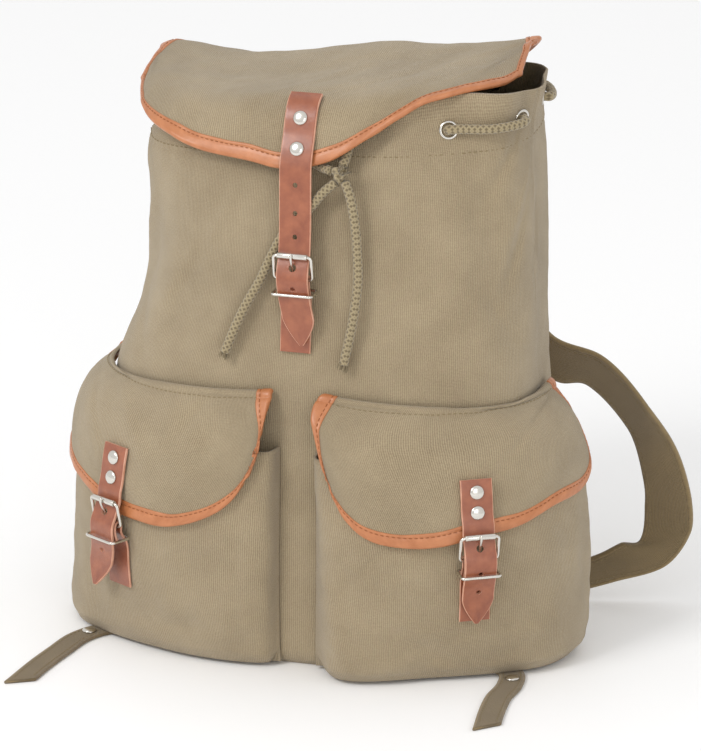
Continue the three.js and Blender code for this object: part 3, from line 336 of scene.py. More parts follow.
def clean(piece):
    """Merges points that meet and turns all faces out."""
    mesh = bmesh.new()
    mesh.from_mesh(piece.data)
    bmesh.ops.remove_doubles(mesh, verts=mesh.verts, dist=1e-6)
    bmesh.ops.recalc_face_normals(mesh, faces=mesh.faces)
    mesh.to_mesh(piece.data)
    mesh.free()
    piece.data.update()


def tube(name, centres, radius, sides, materials, nodes=(), closed=False, relief=None):
    """A round cord or wire along a row of points, with its frame carried along without twist."""
    centres = np.asarray(centres, float)
    if closed:
        tangents = unit(np.roll(centres, -1, axis=0) - np.roll(centres, 1, axis=0))
    else:
        tangents = unit(np.gradient(centres, axis=0))
    side = unit(np.cross(tangents[0], (0.21, 0.35, 0.91)))
    sides_along = [side]
    for tangent in tangents[1:]:
        side = unit(side - tangent * side.dot(tangent))
        sides_along.append(side)
    first = np.array(sides_along)
    second = np.cross(tangents, first)
    turns = np.arange(sides) * 2 * math.pi / sides
    lengths = row_lengths(centres)
    girth = np.arange(sides + 1) / sides
    r = radius + (relief(girth[:-1][None, :], lengths[:, None]) if relief else 0 * lengths[:, None])
    loops = (centres[:, None] + first[:, None] * (r * np.cos(turns))[..., None]
             + second[:, None] * (r * np.sin(turns))[..., None])
    if closed:
        loops = np.concatenate([loops, loops[:1]])
        lengths = np.append(lengths, lengths[-1] + np.linalg.norm(centres[0] - centres[-1]))
        shift = int(np.argmin(np.linalg.norm(loops[-2] - loops[-1][0], axis=1)))
        loops[-1] = np.roll(loops[-1], shift, axis=0)
    return loft(name, loops, girth * 2 * math.pi * radius, lengths, materials, nodes, caps=not closed)


def ribbon(name, centres, along, halves, thickness, materials, nodes=(), corner=0.45, crown=0.0):
    """A strap with rounded edges through rows of middles, ways and half widths."""
    wide = np.linalg.norm(halves, axis=1)
    side, face = unit(halves), unit(np.cross(along, halves))
    t, r = thickness / 2, corner * thickness
    arcs = np.linspace(0, math.pi / 2, 4)
    section, index = [], []
    for sx, sy in ((1, 1), (-1, 1), (-1, -1), (1, -1)):
        corners = [(sx, -r + r * math.sin(a) if sx * sy > 0 else -r + r * math.cos(a),
                    sy * (t - r + r * (math.cos(a) if sx * sy > 0 else math.sin(a)))) for a in arcs[::-1]]
        section += corners
        face_index = 0 if sy > 0 or len(materials) < 3 else 2
        index += [1, 1, 1] + ([face_index] if sx * sy > 0 else [1])
        if sx * sy > 0:
            for share in (0.97, 0.6, 0.2, -0.2, -0.6, -0.97):
                section.append((sx * share, -2 * r, sy * t))
                index.append(face_index)
    rows = []
    for sx, dx, y in section:
        reach = wide * sx + np.sign(sx) * dx if abs(sx) == 1 else np.maximum(wide - 2 * r, 0.2) * sx
        lift = y + crown * (1 - (reach / np.maximum(wide, 1e-6)) ** 2) * np.sign(y)
        rows.append(centres + side * reach[:, None] + face * lift[:, None])
    loops = np.stack(rows, 1)
    lengths = row_lengths(centres)
    around = np.array([s[0] * wide.max() for s in section] + [section[0][0] * wide.max()])
    return loft(name, loops, around, lengths, materials, nodes, section_index=index)


def lathe(name, outline, sides, places, materials, nodes=()):
    """Copies of a turned shape; each place is a middle and the way that its axis points."""
    outline = np.asarray(outline, float)
    turns = np.arange(sides) * 2 * math.pi / sides
    all_points, all_faces, all_uv = [], [], []
    faces, fi, fj = grid_faces(len(outline), sides, closed=True)
    distances = row_lengths(outline)
    uv = np.stack([fj / sides * 2 * math.pi * outline[:, 0].max(), distances[fi]], -1)
    for number, (middle, axis) in enumerate(places):
        axis = unit(np.asarray(axis, float))
        first = unit(np.cross(axis, (0.3, 0.2, 0.93)))
        second = np.cross(axis, first)
        rim = first * np.cos(turns)[:, None] + second * np.sin(turns)[:, None]
        points = np.asarray(middle) + outline[:, 0, None, None] * rim + outline[:, 1, None, None] * axis
        all_points.append(points.reshape(-1, 3))
        all_faces.append(faces + number * len(outline) * sides)
        all_uv.append(uv)
    piece = make_piece(name, np.concatenate(all_points), np.concatenate(all_faces), np.concatenate(all_uv),
                       materials, nodes)
    clean(piece)
    return piece


def stitches(name, points, normals, material, length=2.5, pitch=3.6, radius=0.34, lift=0.12):
    """A row of thread stitches along a line on a surface."""
    points, normals = np.asarray(points, float), unit(np.asarray(normals, float))
    lengths = row_lengths(points)
    starts = np.arange(pitch / 2, lengths[-1] - pitch / 2, pitch)
    at = lambda d, values: np.stack([np.interp(d, lengths, values[:, k]) for k in range(3)], -1)
    middle, up = at(starts, points), unit(at(starts, normals))
    along = unit(at(starts + length / 2, points) - at(starts - length / 2, points))
    aside = np.cross(along, up)
    shape_along = np.array([-0.5, -0.38, 0.0, 0.38, 0.5]) * length
    shape_radius = np.array([0.25, 0.85, 1.0, 0.85, 0.25]) * radius
    turns = np.arange(6) * math.pi / 3
    ring = (aside[:, None, None] * np.cos(turns)[:, None] + up[:, None, None] * np.sin(turns)[:, None])
    drop = np.array([-0.9, -0.25, 0.0, -0.25, -0.9]) * radius
    loops = (middle[:, None, None] + along[:, None, None] * shape_along[:, None, None]
             + up[:, None, None] * (lift + drop)[:, None, None] + ring * shape_radius[:, None, None])
    faces, fi, fj = grid_faces(5, 6, closed=True)
    count = len(starts)
    all_faces = (faces[None] + np.arange(count)[:, None, None] * 30).reshape(-1, 4)
    uv = np.tile(np.stack([fj * 0.3, fi * 0.6], -1), (count, 1, 1))
    return make_piece(name, loops, all_faces, uv, [material])


# %% [markdown]
# ## Materials
#
# Each one is named for what it is; the darker inside canvas is painted shade. Colours are written as
# they look on a screen and turned into linear light by one function. Patterns are sized in metres,
# from the real weave or grain.


# %% Material tools
def srgb(text):
    """A #rrggbb colour as linear red, green, blue and alpha."""
    parts = [int(text[i:i + 2], 16) / 255 for i in (1, 3, 5)]
    return [v / 12.92 if v <= 0.04045 else ((v + 0.055) / 1.055) ** 2.4 for v in parts] + [1.0]


class Shader:
    """A node material with its main shader, and a short way to add nodes with settings and links."""

    def __init__(self, name, **main):
        self.material = bpy.data.materials.new(name)
        self.material.use_nodes = True
        self.tree = self.material.node_tree
        self.main = self.tree.nodes["Principled BSDF"]
        self.set(self.main, main)

    def set(self, node, inputs):
        for name, value in inputs.items():
            socket = node.inputs[int(name[1:]) if name.startswith("_") else name.replace("_", " ")]
            if isinstance(value, bpy.types.NodeSocket):
                self.tree.links.new(value, socket)
            else:
                socket.default_value = value

    def add(self, kind, settings=None, output=0, **inputs):
        node = self.tree.nodes.new(f"ShaderNode{kind}")
        for name, value in (settings or {}).items():
            setattr(node, name, value)
        self.set(node, inputs)
        return node.outputs[output]

    def math(self, operation, a, b=0.0, clamp=False):
        return self.add("Math", {"operation": operation, "use_clamp": clamp}, _0=a, _1=b)

    def noise(self, place, scale, detail=2.0, roughness=0.5):
        return self.add("TexNoise", Vector=place, Scale=scale, Detail=detail, Roughness=roughness)

    def blend(self, share, first, second):
        node = self.tree.nodes.new("ShaderNodeMix")
        node.data_type = "RGBA"
        for socket, value in ((0, share), (6, first), (7, second)):
            if isinstance(value, bpy.types.NodeSocket):
                self.tree.links.new(value, node.inputs[socket])
            else:
                node.inputs[socket].default_value = value
        return node.outputs[2]

    def ramp(self, value, low, high):
        return self.add("MapRange", {"clamp": True}, Value=value, From_Min=low, From_Max=high)

    def bump(self, height, distance, strength=1.0):
        self.set(self.main, {"Normal": self.add("Bump", Height=height, Distance=distance, Strength=strength)})

    def sides(self):
        """The texture place in metres, and its two parts."""
        place = self.add("UVMap", {"uv_map": "metres"})
        split = self.tree.nodes.new("ShaderNodeSeparateXYZ")
        self.tree.links.new(place, split.inputs[0])
        return place, split.outputs[0], split.outputs[1]

    def waves(self, distance, pitch):
        """Ridges that repeat every pitch metres, from 0 to 1."""
        turned = self.math("SINE", self.math("MULTIPLY", distance, 2 * math.pi / pitch))
        return self.math("ADD", self.math("MULTIPLY", turned, 0.5), 0.5)


# The pitches of the ribs and yarns of canvas and of a cord's strands, in metres.
RIB_PITCH, YARN_PITCH, STRAND_PITCH = 0.00125, 0.0009, 0.0042


def canvas(name, light, dark):
    """Heavy cotton canvas: upright ribs crossed by finer yarns, mottled, with a soft fuzz."""
    s = Shader(name, Roughness=0.93)
    s.main.inputs["Sheen Weight"].default_value = 0.25
    s.main.inputs["Sheen Roughness"].default_value = 0.6
    s.main.inputs["Specular IOR Level"].default_value = 0.2
    place, u, v = s.sides()
    waver = s.math("MULTIPLY", s.math("SUBTRACT", s.noise(place, 160, 2), 0.5), 0.0011)
    rib = s.waves(s.math("ADD", u, waver), RIB_PITCH)
    waver_up = s.math("MULTIPLY", s.math("SUBTRACT", s.noise(place, 260, 2), 0.5), 0.0008)
    yarn = s.waves(s.math("ADD", v, waver_up), YARN_PITCH)
    weave = s.math("ADD", s.math("MULTIPLY", rib, 0.7), s.math("MULTIPLY", yarn, 0.3))
    slub = s.ramp(s.noise(place, 900, 3, 0.7), 0.35, 0.72)
    mottle = s.ramp(s.noise(place, 22, 5, 0.6), 0.3, 0.7)
    uneven = s.math("ADD", s.math("MULTIPLY", slub, 0.25), s.math("MULTIPLY", mottle, 0.25))
    shade = s.math("ADD", s.math("MULTIPLY", weave, 0.6), uneven, clamp=True)
    s.set(s.main, {"Base Color": s.blend(shade, srgb(dark), srgb(light))})
    s.bump(s.math("ADD", weave, s.math("MULTIPLY", slub, 0.6)), 0.0005, 0.8)
    return s.material


def leather(name, light, dark, roughness, grain, coat):
    """Smooth finished leather: fine grain, cloudy colour and soft shine."""
    s = Shader(name, Roughness=roughness)
    s.main.inputs["Coat Weight"].default_value = coat
    s.main.inputs["Coat Roughness"].default_value = 0.22
    place, _, _ = s.sides()
    cloud = s.ramp(s.noise(place, 90, 4, 0.6), 0.3, 0.72)
    cells = s.add("TexVoronoi", {"feature": "DISTANCE_TO_EDGE"}, Vector=place, Scale=grain)
    s.set(s.main, {"Base Color": s.blend(cloud, srgb(dark), srgb(light))})
    creases = s.math("MULTIPLY", s.noise(place, 400, 3), 0.9)
    s.bump(s.math("ADD", s.ramp(cells, 0.0, 0.25), creases), 0.00012, 0.4)
    return s.material


def metal(name, color, roughness):
    s = Shader(name, Base_Color=srgb(color), Metallic=1.0)
    place, _, _ = s.sides()
    wear = s.noise(place, 300, 4, 0.6)
    s.set(s.main, {"Roughness": s.math("ADD", s.math("MULTIPLY", wear, 0.18), roughness)})
    s.bump(wear, 0.00005, 0.25)
    return s.material


def braid(name, light, dark):
    """Braided cotton: the strands stand out in the mesh, and this adds their colour and fibres."""
    s = Shader(name, Roughness=0.95)
    s.main.inputs["Sheen Weight"].default_value = 0.3
    place, u, v = s.sides()
    fibre = s.noise(place, 1500, 3, 0.7)
    one, two = (s.waves(s.math(way, u, s.math("MULTIPLY", v, 1.2)), STRAND_PITCH)
                for way in ("ADD", "SUBTRACT"))
    strands = s.math("MAXIMUM", one, two)
    shade = s.math("ADD", s.math("MULTIPLY", strands, 0.6), s.math("MULTIPLY", fibre, 0.4))
    s.set(s.main, {"Base Color": s.blend(s.ramp(shade, 0.35, 0.85), srgb(dark), srgb(light))})
    s.bump(s.math("ADD", strands, s.math("MULTIPLY", fibre, 0.5)), 0.0006, 0.8)
    return s.material


# %% The materials
khaki = canvas("khaki_cotton_canvas", "#bba98a", "#77664b")
# The sack's inside is the same canvas painted darker: painted shade inside the mouth and body.
khaki_painted_shade = canvas("khaki_canvas_inside_painted_shade", "#8f7c58", "#5f5036")
webbing = canvas("khaki_strap_canvas", "#95815c", "#5e4d33")
tan_binding = leather("tan_binding_leather", "#c47f52", "#aa673b", 0.4, 900, 0.25)
strap_leather = leather("red_brown_strap_leather", "#a45f3e", "#85452b", 0.3, 1500, 0.5)
cut_edge = leather("pale_cut_leather_edge", "#d9a890", "#bd8468", 0.7, 1500, 0.0)
bright_nickel = metal("bright_nickel_plate", "#d8d4cc", 0.12)
cotton_cord = braid("braided_cotton_cord", "#a89877", "#716349")
tan_thread = leather("tan_thread", "#a8683c", "#8a5028", 0.8, 3000, 0.0)
khaki_thread = leather("khaki_thread", "#9c8b68", "#7d6d4d", 0.85, 3000, 0.0)
print("materials:", ", ".join(m.name for m in bpy.data.materials))

# %% [markdown]
# ## The sack
#
# Its girth at each height is a rounded box that is rounder in front than behind. Folds are soft
# ridges and dents that lean across it, and the rim is gathered between its eyelets.

# %% The shape of the sack
BAG_WIDTH, BAG_DEPTH, BAG_HEIGHT, CLOTH = 280, 160, 366, 2
HALF_WIDTH, HALF_DEPTH = BAG_WIDTH / 2, BAG_DEPTH / 2
RIM_LEAN, RIM_FRONT_DIP, GATHER_DEPTH = 11, 5, 2.5
FRONT_ROUNDNESS, BACK_ROUNDNESS = 2.6, 4.2
EYELETS = 12

girths = Table(
    "height left right front back",
    (0.0, 0.945, 0.945, 0.93, 0.94), (0.012, 1.0, 1.0, 0.985, 0.985), (0.035, 1.03, 1.03, 1.015, 1.0),
    (0.16, 1.05, 1.06, 1.02, 1.0), (0.32, 1.03, 1.045, 1.0, 1.0), (0.5, 0.985, 1.0, 0.96, 0.99),
    (0.62, 0.875, 0.99, 0.885, 0.98), (0.74, 0.825, 0.99, 0.825, 0.97), (0.84, 0.83, 0.98, 0.755, 0.96),
    (0.92, 0.84, 0.965, 0.625, 0.95), (0.955, 0.785, 0.965, 0.55, 0.94), (1.0, 0.7, 0.99, 0.48, 0.92))
MIDDLE_GIRTH = 5

# Where each fold is round the girth and up the sack, its half size, lean and depth.
bag_folds = (
    (0.815, 0.71, 0.018, 0.1, 0.1, -4), (0.855, 0.66, 0.02, 0.09, 0.12, 3),
    (0.165, 0.82, 0.02, 0.12, -0.1, -4), (0.225, 0.64, 0.02, 0.1, 0.08, 3),
    (0.09, 0.8, 0.022, 0.1, -0.14, -2.5), (0.41, 0.5, 0.03, 0.2, 0.06, -4),
    (0.59, 0.42, 0.03, 0.2, -0.05, -4), (0.5, 0.16, 0.12, 0.06, 0, 3))
# Smaller folds that only the fine mesh shows: under the eyelets, at the mouth and down the sides.
small_folds = (
    (0.13, 0.885, 0.006, 0.035, -0.5, -1.8), (0.142, 0.875, 0.006, 0.04, -0.45, 1.4),
    (0.185, 0.9, 0.007, 0.05, 0.35, -1.8), (0.205, 0.78, 0.007, 0.08, 0.2, -2.2),
    (0.215, 0.86, 0.006, 0.05, 0.3, 1.6), (0.175, 0.66, 0.008, 0.07, -0.3, -1.4),
    (0.89, 0.74, 0.008, 0.1, 0.28, -1.8), (0.905, 0.79, 0.007, 0.07, 0.3, 1.5),
    (0.8, 0.77, 0.008, 0.07, 0.3, 1.8), (0.83, 0.58, 0.01, 0.06, -0.3, -1.6),
    (0.03, 0.87, 0.008, 0.05, -0.3, -1.2), (0.965, 0.62, 0.01, 0.05, 0.4, -0.9),
    (0.07, 0.6, 0.014, 0.03, 0.8, 1.0), (0.24, 0.74, 0.008, 0.09, 0.1, -2.0))


def girth_curve(angle, row):
    c, s = np.cos(angle), np.sin(angle)
    power = 2 / np.where(s < 0, FRONT_ROUNDNESS, BACK_ROUNDNESS)
    across = np.where(c < 0, row["left"], row["right"]) * HALF_WIDTH
    deep = np.where(s < 0, row["front"], row["back"]) * HALF_DEPTH
    return across * np.sign(c) * np.abs(c) ** power, deep * np.sign(s) * np.abs(s) ** power


girth_angles = np.linspace(0, 2 * math.pi, 1441) - math.pi / 2
middle_row = dict(zip(girths.columns, girths.rows[MIDDLE_GIRTH]))
girth_x, girth_y = girth_curve(girth_angles, middle_row)
girth_lengths = np.concatenate([[0], np.cumsum(np.hypot(np.diff(girth_x), np.diff(girth_y)))])
GIRTH = girth_lengths[-1]


def plain_bag_point(turn, height):
    turn, height = np.broadcast_arrays(np.asarray(turn, float), np.asarray(height, float))
    row = {column: girths.read(column, height) for column in ("left", "right", "front", "back")}
    angle = np.interp((turn - np.floor(turn)) * GIRTH, girth_lengths, girth_angles)
    x, y = girth_curve(angle, row)
    near_rim = height ** 4
    frontness = np.maximum(0, -y / HALF_DEPTH)
    z = height * BAG_HEIGHT + near_rim * (RIM_LEAN * x / HALF_WIDTH - 2 * RIM_FRONT_DIP * frontness)
    return vector(x, y, z)


def bag_outward(turn, height):
    a, b = plain_bag_point(turn - 0.004, height), plain_bag_point(turn + 0.004, height)
    return unit(vector(b[..., 1] - a[..., 1], a[..., 0] - b[..., 0], 0))


def fold_depth(turn, height, folds):
    turn, height = np.broadcast_arrays(np.asarray(turn, float), np.asarray(height, float))
    share = turn - np.floor(turn)
    depth = np.zeros(share.shape)
    for place, level, width, length, lean, deep in folds:
        up = height - level
        depth += deep * np.exp(-(up / length) ** 2 - ((share - place - lean * up) / width) ** 2)
    gathers = ease((height - 0.88) / 0.12) * GATHER_DEPTH * np.cos(2 * math.pi * EYELETS * share)
    return depth + gathers


def bag_point(turn, height, outset=0.0, folds=bag_folds):
    turn, height = np.broadcast_arrays(np.asarray(turn, float), np.asarray(height, float))
    distance = fold_depth(turn, height, folds) + outset
    return plain_bag_point(turn, height) + bag_outward(turn, height) * distance[..., None]


# %% The sack
HEM_DEPTH, HEM_STITCH, SEAM_TURN = 28, 25.8, 0.235
SACK_AROUND, SACK_UP, SACK_INSIDE = 348, 160, 40
RIM_RISE, RISE_TURN, RISE_WIDTH = 9, 0.13, 0.075


def sack_relief(turn, height):
    """Slack in the cloth, the hem's step below the rim and the side seam at the mouth."""
    along, up = turn * GIRTH, height * BAG_HEIGHT
    slack = 0.45 * soft_noise(along, up * 0.6, 60, 3) + 0.18 * soft_noise(along, up, 19, 5)
    hem_edge = BAG_HEIGHT - HEM_DEPTH
    hem = 0.5 * ease((up - hem_edge) / 1.2) - 0.5 * np.exp(-((up - hem_edge) / 1.3) ** 2)
    share = turn - np.floor(turn)
    seam = -0.8 * np.exp(-((share - SEAM_TURN) / 0.0022) ** 2) * ease((up - 205) / 20)
    pucker = 0.25 * np.sin(along * 2 * math.pi / 7.5) * np.exp(-((up - hem_edge) / 5) ** 2)
    return slack * ease(up / 40) + hem + seam + pucker


def rim_rise(turn, height):
    """The cloth above the eyelets stands up under the lid flap on the right."""
    share = turn - np.floor(turn)
    rise = RIM_RISE * ease((height - 0.98) / 0.02) * np.exp(-((share - RISE_TURN) / RISE_WIDTH) ** 2)
    return vector(0, 0, rise)


turns = np.linspace(0.5, 1.5, SACK_AROUND + 1)[:-1]
heights = np.concatenate([np.linspace(0, 0.05, 24)[:-1], np.linspace(0.05, 1, SACK_UP)])
T, H = np.meshgrid(turns, heights)
outer = bag_point(T, H, sack_relief(T, H), bag_folds + small_folds) + rim_rise(T, H)
edge_roll = bag_point(turns, 1.0, -CLOTH / 2) + (0, 0, CLOTH * 0.45) + rim_rise(turns, 1.0)
inner_heights = np.concatenate([np.linspace(1, 0.93, 14)[:-1], np.linspace(0.93, 0.012, SACK_INSIDE)])
T2, H2 = np.meshgrid(turns, inner_heights)
inner = bag_point(T2, H2, sack_relief(T2, H2) - CLOTH, bag_folds + small_folds) + rim_rise(T2, H2)
floor_ring = bag_point(turns, 0.004, -CLOTH) + (0, 0, CLOTH)
loops = np.concatenate([outer, edge_roll[None], inner, floor_ring[None]])
along = np.concatenate([heights, [1.003], 2 - inner_heights, [2.0]]) * BAG_HEIGHT
around = np.linspace(0, 1, SACK_AROUND + 1) * GIRTH
# Faces inside the sack take the darker canvas, which is painted shade inside the mouth and body.
is_inside = (np.arange(len(loops) - 1) >= len(heights)).astype(int)[:, None]
sack = loft("sack", loops, around, along, [khaki, khaki_painted_shade], ["bag_body"],
            section_index=is_inside)
print("sack faces:", len(sack.data.polygons))

hem_turns = np.linspace(0, 1, 900)
hem_height = 1 - HEM_STITCH / BAG_HEIGHT
hem_relief = sack_relief(hem_turns, np.full(len(hem_turns), hem_height))
hem_line = bag_point(hem_turns, hem_height, hem_relief, bag_folds + small_folds)
stitches("hem_stitches", hem_line, bag_outward(hem_turns, hem_height), khaki_thread, lift=0.1)

# %% [markdown]
# ## The eyelets and the drawcord
#
# The cord goes out and in through the eyelets. Its two free ends leave the knot in front. The
# route of each end is the row of points that the model has.

# %% Eyelets
EYELET_BAND = (0.943, 0.99)
EYELET_HOLE, EYELET_RADIUS = 4.15, 6.1
CORD_RADIUS, CORD_OFFSET, CORD_STRAIGHT, BAG_FACETS = 3, 7, 4, 36
eyelet_height = sum(EYELET_BAND) / 2
eyelet_turns = (np.arange(EYELETS) + 0.5) / EYELETS


def eyelet_place(turn):
    """The middle and the way out of an eyelet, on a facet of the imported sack."""
    half = 0.5 / BAG_FACETS
    corners = [(-half, 0), (half, 0), (half, 1), (-half, 1)]
    a, b, c, d = (bag_point(turn + aside, EYELET_BAND[row]) for aside, row in corners)
    deep = [bag_point(turn + aside, EYELET_BAND[row], -CLOTH) for aside, row in corners]
    outward = unit(np.cross(c - a, d - b))
    return sum([a, b, c, d] + deep) / 8, outward


ring_outline = [(EYELET_HOLE, -1.5), (5.6, -1.6), (EYELET_RADIUS, -1.3), (4.8, -0.6), (4.8, 0.9),
                (EYELET_RADIUS - 0.1, 1.15), (EYELET_RADIUS, 1.35), (5.85, 1.65), (5.4, 1.85), (4.9, 1.9),
                (4.5, 1.75), (4.25, 1.45), (EYELET_HOLE, 1.0), (EYELET_HOLE, -1.5)]
places = [eyelet_place(turn) for turn in eyelet_turns]
lathe("eyelet_rings", ring_outline, 36, places, [bright_nickel],
      [f"eyelet_{k + 1}" for k in range(EYELETS)])

# %% Drawcord
cord_lead_right = [(27.8, -61.9, 335), (28.5, -57, 339.5), (29, -52, 345)]
cord_lead_left = [(-27, -50, 343), (-14, -53.5, 339), (2, -55, 335), (14, -60, 332.4),
                  (20.9, -65.1, 332.4)]
cord_end_left = [
    (24.5, -66.3, 325.4), (17, -67.5, 319), (9, -69, 309), (-1, -69.8, 299), (-9, -70.5, 289.5),
    (-16.5, -72, 275), (-24, -73.5, 258), (-30, -75, 247), (-35.5, -76, 236), (-41, -77, 223), (-46, -78, 210)]
cord_end_right = [
    (30.8, -67.6, 326.9), (34.5, -68.5, 317), (36.5, -69, 308), (38.5, -70, 296), (40, -71.5, 281),
    (41, -73.5, 264), (40, -75.5, 249), (38, -77, 234), (35.5, -77.8, 221), (33, -78.5, 209)]
KNOT_CENTRE = np.array((27, -66, 331))

cord_points = []
for k, turn in enumerate(eyelet_turns):
    centre, outward = eyelet_place(turn)
    before = 1 if k % 2 == 0 else -1
    run = lambda at, side: (bag_point(at, eyelet_height, -CLOTH / 2)
                            + eyelet_place(at)[1] * side * CORD_OFFSET)
    if k > 0:
        cord_points.append(run(turn - 0.12 / EYELETS, before))
    cord_points += [centre + outward * before * CORD_STRAIGHT, centre - outward * before * CORD_STRAIGHT]
    if k < EYELETS - 1:
        cord_points += [run(turn + 0.12 / EYELETS, -before), run(turn + 0.5 / EYELETS, -before)]


def braid_relief(around, along):
    """Two families of strands that cross: the one on top stands out."""
    one = np.abs(np.sin(math.pi * (4 * around + along / 5.4)))
    two = np.abs(np.sin(math.pi * (4 * around - along / 5.4)))
    return 0.42 * np.maximum(one, two) - 0.36


def cord_piece(name, points, step, nodes):
    route = Route(points)
    path = route.at(np.linspace(0, route.length, max(int(route.length / step), 12)))
    piece = tube(name, path, CORD_RADIUS, 20, [cotton_cord], nodes, relief=braid_relief)
    return piece, route, path


cord_piece("drawcord_braid", cord_lead_right + cord_points + cord_lead_left, 1.1, ["drawcord"])


def frayed(name, end, way, seed):
    """The loose threads at a bare end."""
    rng = np.random.default_rng(seed)
    way = unit(np.asarray(way))
    curve = bpy.data.curves.new(name, "CURVE")
    curve.dimensions, curve.bevel_depth, curve.bevel_resolution = "3D", 0.28 * MM, 1
    for _ in range(26):
        aside = rng.normal(0, 1, 3)
        aside = unit(aside - way * aside.dot(way))
        start = end - way * 2.5 + aside * rng.uniform(0.6, 2.4)
        reach = rng.uniform(3.5, 6.5)
        tip = end + way * reach * 0.8 + aside * rng.uniform(1.5, 4.2)
        thread = curve.splines.new("POLY")
        thread.points.add(3)
        for point, share in zip(thread.points, (0, 0.35, 0.7, 1)):
            place = mix(start, tip, share) + aside * math.sin(share * math.pi) * 0.8
            point.co = (*(place * MM), 1)
    piece = bpy.data.objects.new(name, curve)
    curve.materials.append(cotton_cord)
    bpy.context.collection.objects.link(piece)
    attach(piece, "root")
    return piece


for name, points, seed in (("cord_end_left", cord_end_left, 11), ("cord_end_right", cord_end_right, 12)):
    piece, route, path = cord_piece(f"{name}_braid", points, 1.0, [name])
    fray = frayed(f"{name}_fray", path[-1], path[-1] - path[-4], seed)
    print(name, "is", round(route.length), "mm long")

# The knot: a trefoil of thinner cord pulled tight.
knot_turns = np.linspace(0, 2 * math.pi, 120, endpoint=False)
knot_path = KNOT_CENTRE + 1.25 * vector(np.sin(knot_turns) + 2 * np.sin(2 * knot_turns),
                                       0.9 * -np.sin(3 * knot_turns),
                                       np.cos(knot_turns) - 2 * np.cos(2 * knot_turns))
tube("knot", knot_path, 2.1, 16, [cotton_cord], ["cord_knot"], closed=True)
frayed("knot_threads", KNOT_CENTRE + (3, -3, 3), (0.5, -0.6, 0.5), 21)

# %% [markdown]
# ## The lid flap
#
# A rib for each station across the flap starts in the seam behind, rises over the sack's mouth and
# falls to the front edge. The grid of all ribs is the middle of the cloth.


# %% Sheets with relief
def raised(grid, facing, height):
    """The grid moved along its normals, on the side that it faces."""
    return grid + grid_normals(grid, facing) * np.asarray(height)[..., None]


def grid_places(grid):
    """How far along and down each point of a grid lies."""
    gaps_along, gaps_down = (np.linalg.norm(np.diff(grid, axis=axis), axis=2) for axis in (1, 0))
    return (np.pad(np.cumsum(gaps_along, axis=1), ((0, 0), (1, 0))),
            np.pad(np.cumsum(gaps_down, axis=0), ((1, 0), (0, 0))))


def dents(along, down, folds):
    """Soft folds at places along and down a sheet, with half sizes, lean and depth."""
    total = 0
    for place, level, width, length, lean, deep in folds:
        below = down - level
        aside = along - place - lean * below
        total = total + deep * np.exp(-(below / length) ** 2 - (aside / width) ** 2)
    return total


# %% The shape of the lid flap
FLAP_WIDTH, FLAP_DROP, FLAP_SEAM_HEIGHT, FLAP_CLOTH, SEAM_GAP = 266, 36, 326, 1.8, 0.5
FLAP_SEAM_SHARE, FLAP_CREST_BACK, FLAP_BEHIND, FLAP_RISE_HEIGHT = 0.7, 0.8, 89.5, 352
flap_ribs = Table(
    "station across crest brow_back brow_rise edge_across edge_back edge_rise",
    (0.0, -0.975, 0.06, 0.5, 0.0, -0.985, 0.23, -0.22),
    (0.08, -0.9, 0.14, 0.06, -0.06, -0.862, -0.325, -0.44),
    (0.17, -0.72, 0.11, -0.25, -0.06, -0.703, -0.595, -0.6),
    (0.27, -0.5, 0.06, -0.475, -0.06, -0.52, -0.69, -0.8),
    (0.37, -0.28, 0.14, -0.56, 0.0, -0.26, -0.775, -0.87),
    (0.47, -0.05, 0.3, -0.6, 0.05, -0.075, -0.8, -0.95),
    (0.57, 0.18, 0.44, -0.6, 0.16, 0.15, -0.8, -0.75),
    (0.67, 0.4, 0.47, -0.5, 0.3, 0.34, -0.69, -0.3),
    (0.77, 0.6, 0.53, -0.33, 0.45, 0.55, -0.56, 0.22),
    (0.87, 0.77, 0.61, -0.1, 0.56, 0.72, -0.41, 0.42),
    (0.94, 0.87, 0.67, 0.22, 0.66, 0.885, -0.19, 0.45),
    (1.0, 0.93, 0.7, 0.5, 0.78, 0.95, 0.06, 0.53))


def bag_back(x, z):
    height = z / BAG_HEIGHT
    across = np.where(x < 0, girths.read("left", height), girths.read("right", height)) * HALF_WIDTH
    share = np.minimum(np.abs(x) / across, 0.999)
    return girths.read("back", height) * HALF_DEPTH * (1 - share ** BACK_ROUNDNESS) ** (1 / BACK_ROUNDNESS)


def flap_point(station, share):
    station, share = np.broadcast_arrays(np.asarray(station, float), np.asarray(share, float))
    at = {column: flap_ribs.read(column, station) for column in flap_ribs.columns[1:]}
    x = at["across"] * FLAP_WIDTH / 2
    seam_x = x * FLAP_SEAM_SHARE
    seam_y = bag_back(seam_x, FLAP_SEAM_HEIGHT) + FLAP_CLOTH / 2 + SEAM_GAP
    middle_back = (FLAP_CREST_BACK + at["brow_back"]) / 2
    middle_rise = (at["crest"] + at["brow_rise"]) / 2 + 0.04
    rise = lambda amount: BAG_HEIGHT + amount * FLAP_DROP
    return curve_at([
        vector(seam_x, seam_y, FLAP_SEAM_HEIGHT),
        vector(seam_x * 1.03, FLAP_BEHIND, FLAP_RISE_HEIGHT),
        vector(x, FLAP_CREST_BACK * HALF_DEPTH, rise(at["crest"])),
        vector(x, middle_back * HALF_DEPTH, rise(middle_rise)),
        vector(x, at["brow_back"] * HALF_DEPTH, rise(at["brow_rise"])),
        vector(at["edge_across"] * FLAP_WIDTH / 2, at["edge_back"] * HALF_DEPTH, rise(at["edge_rise"])),
    ], share)


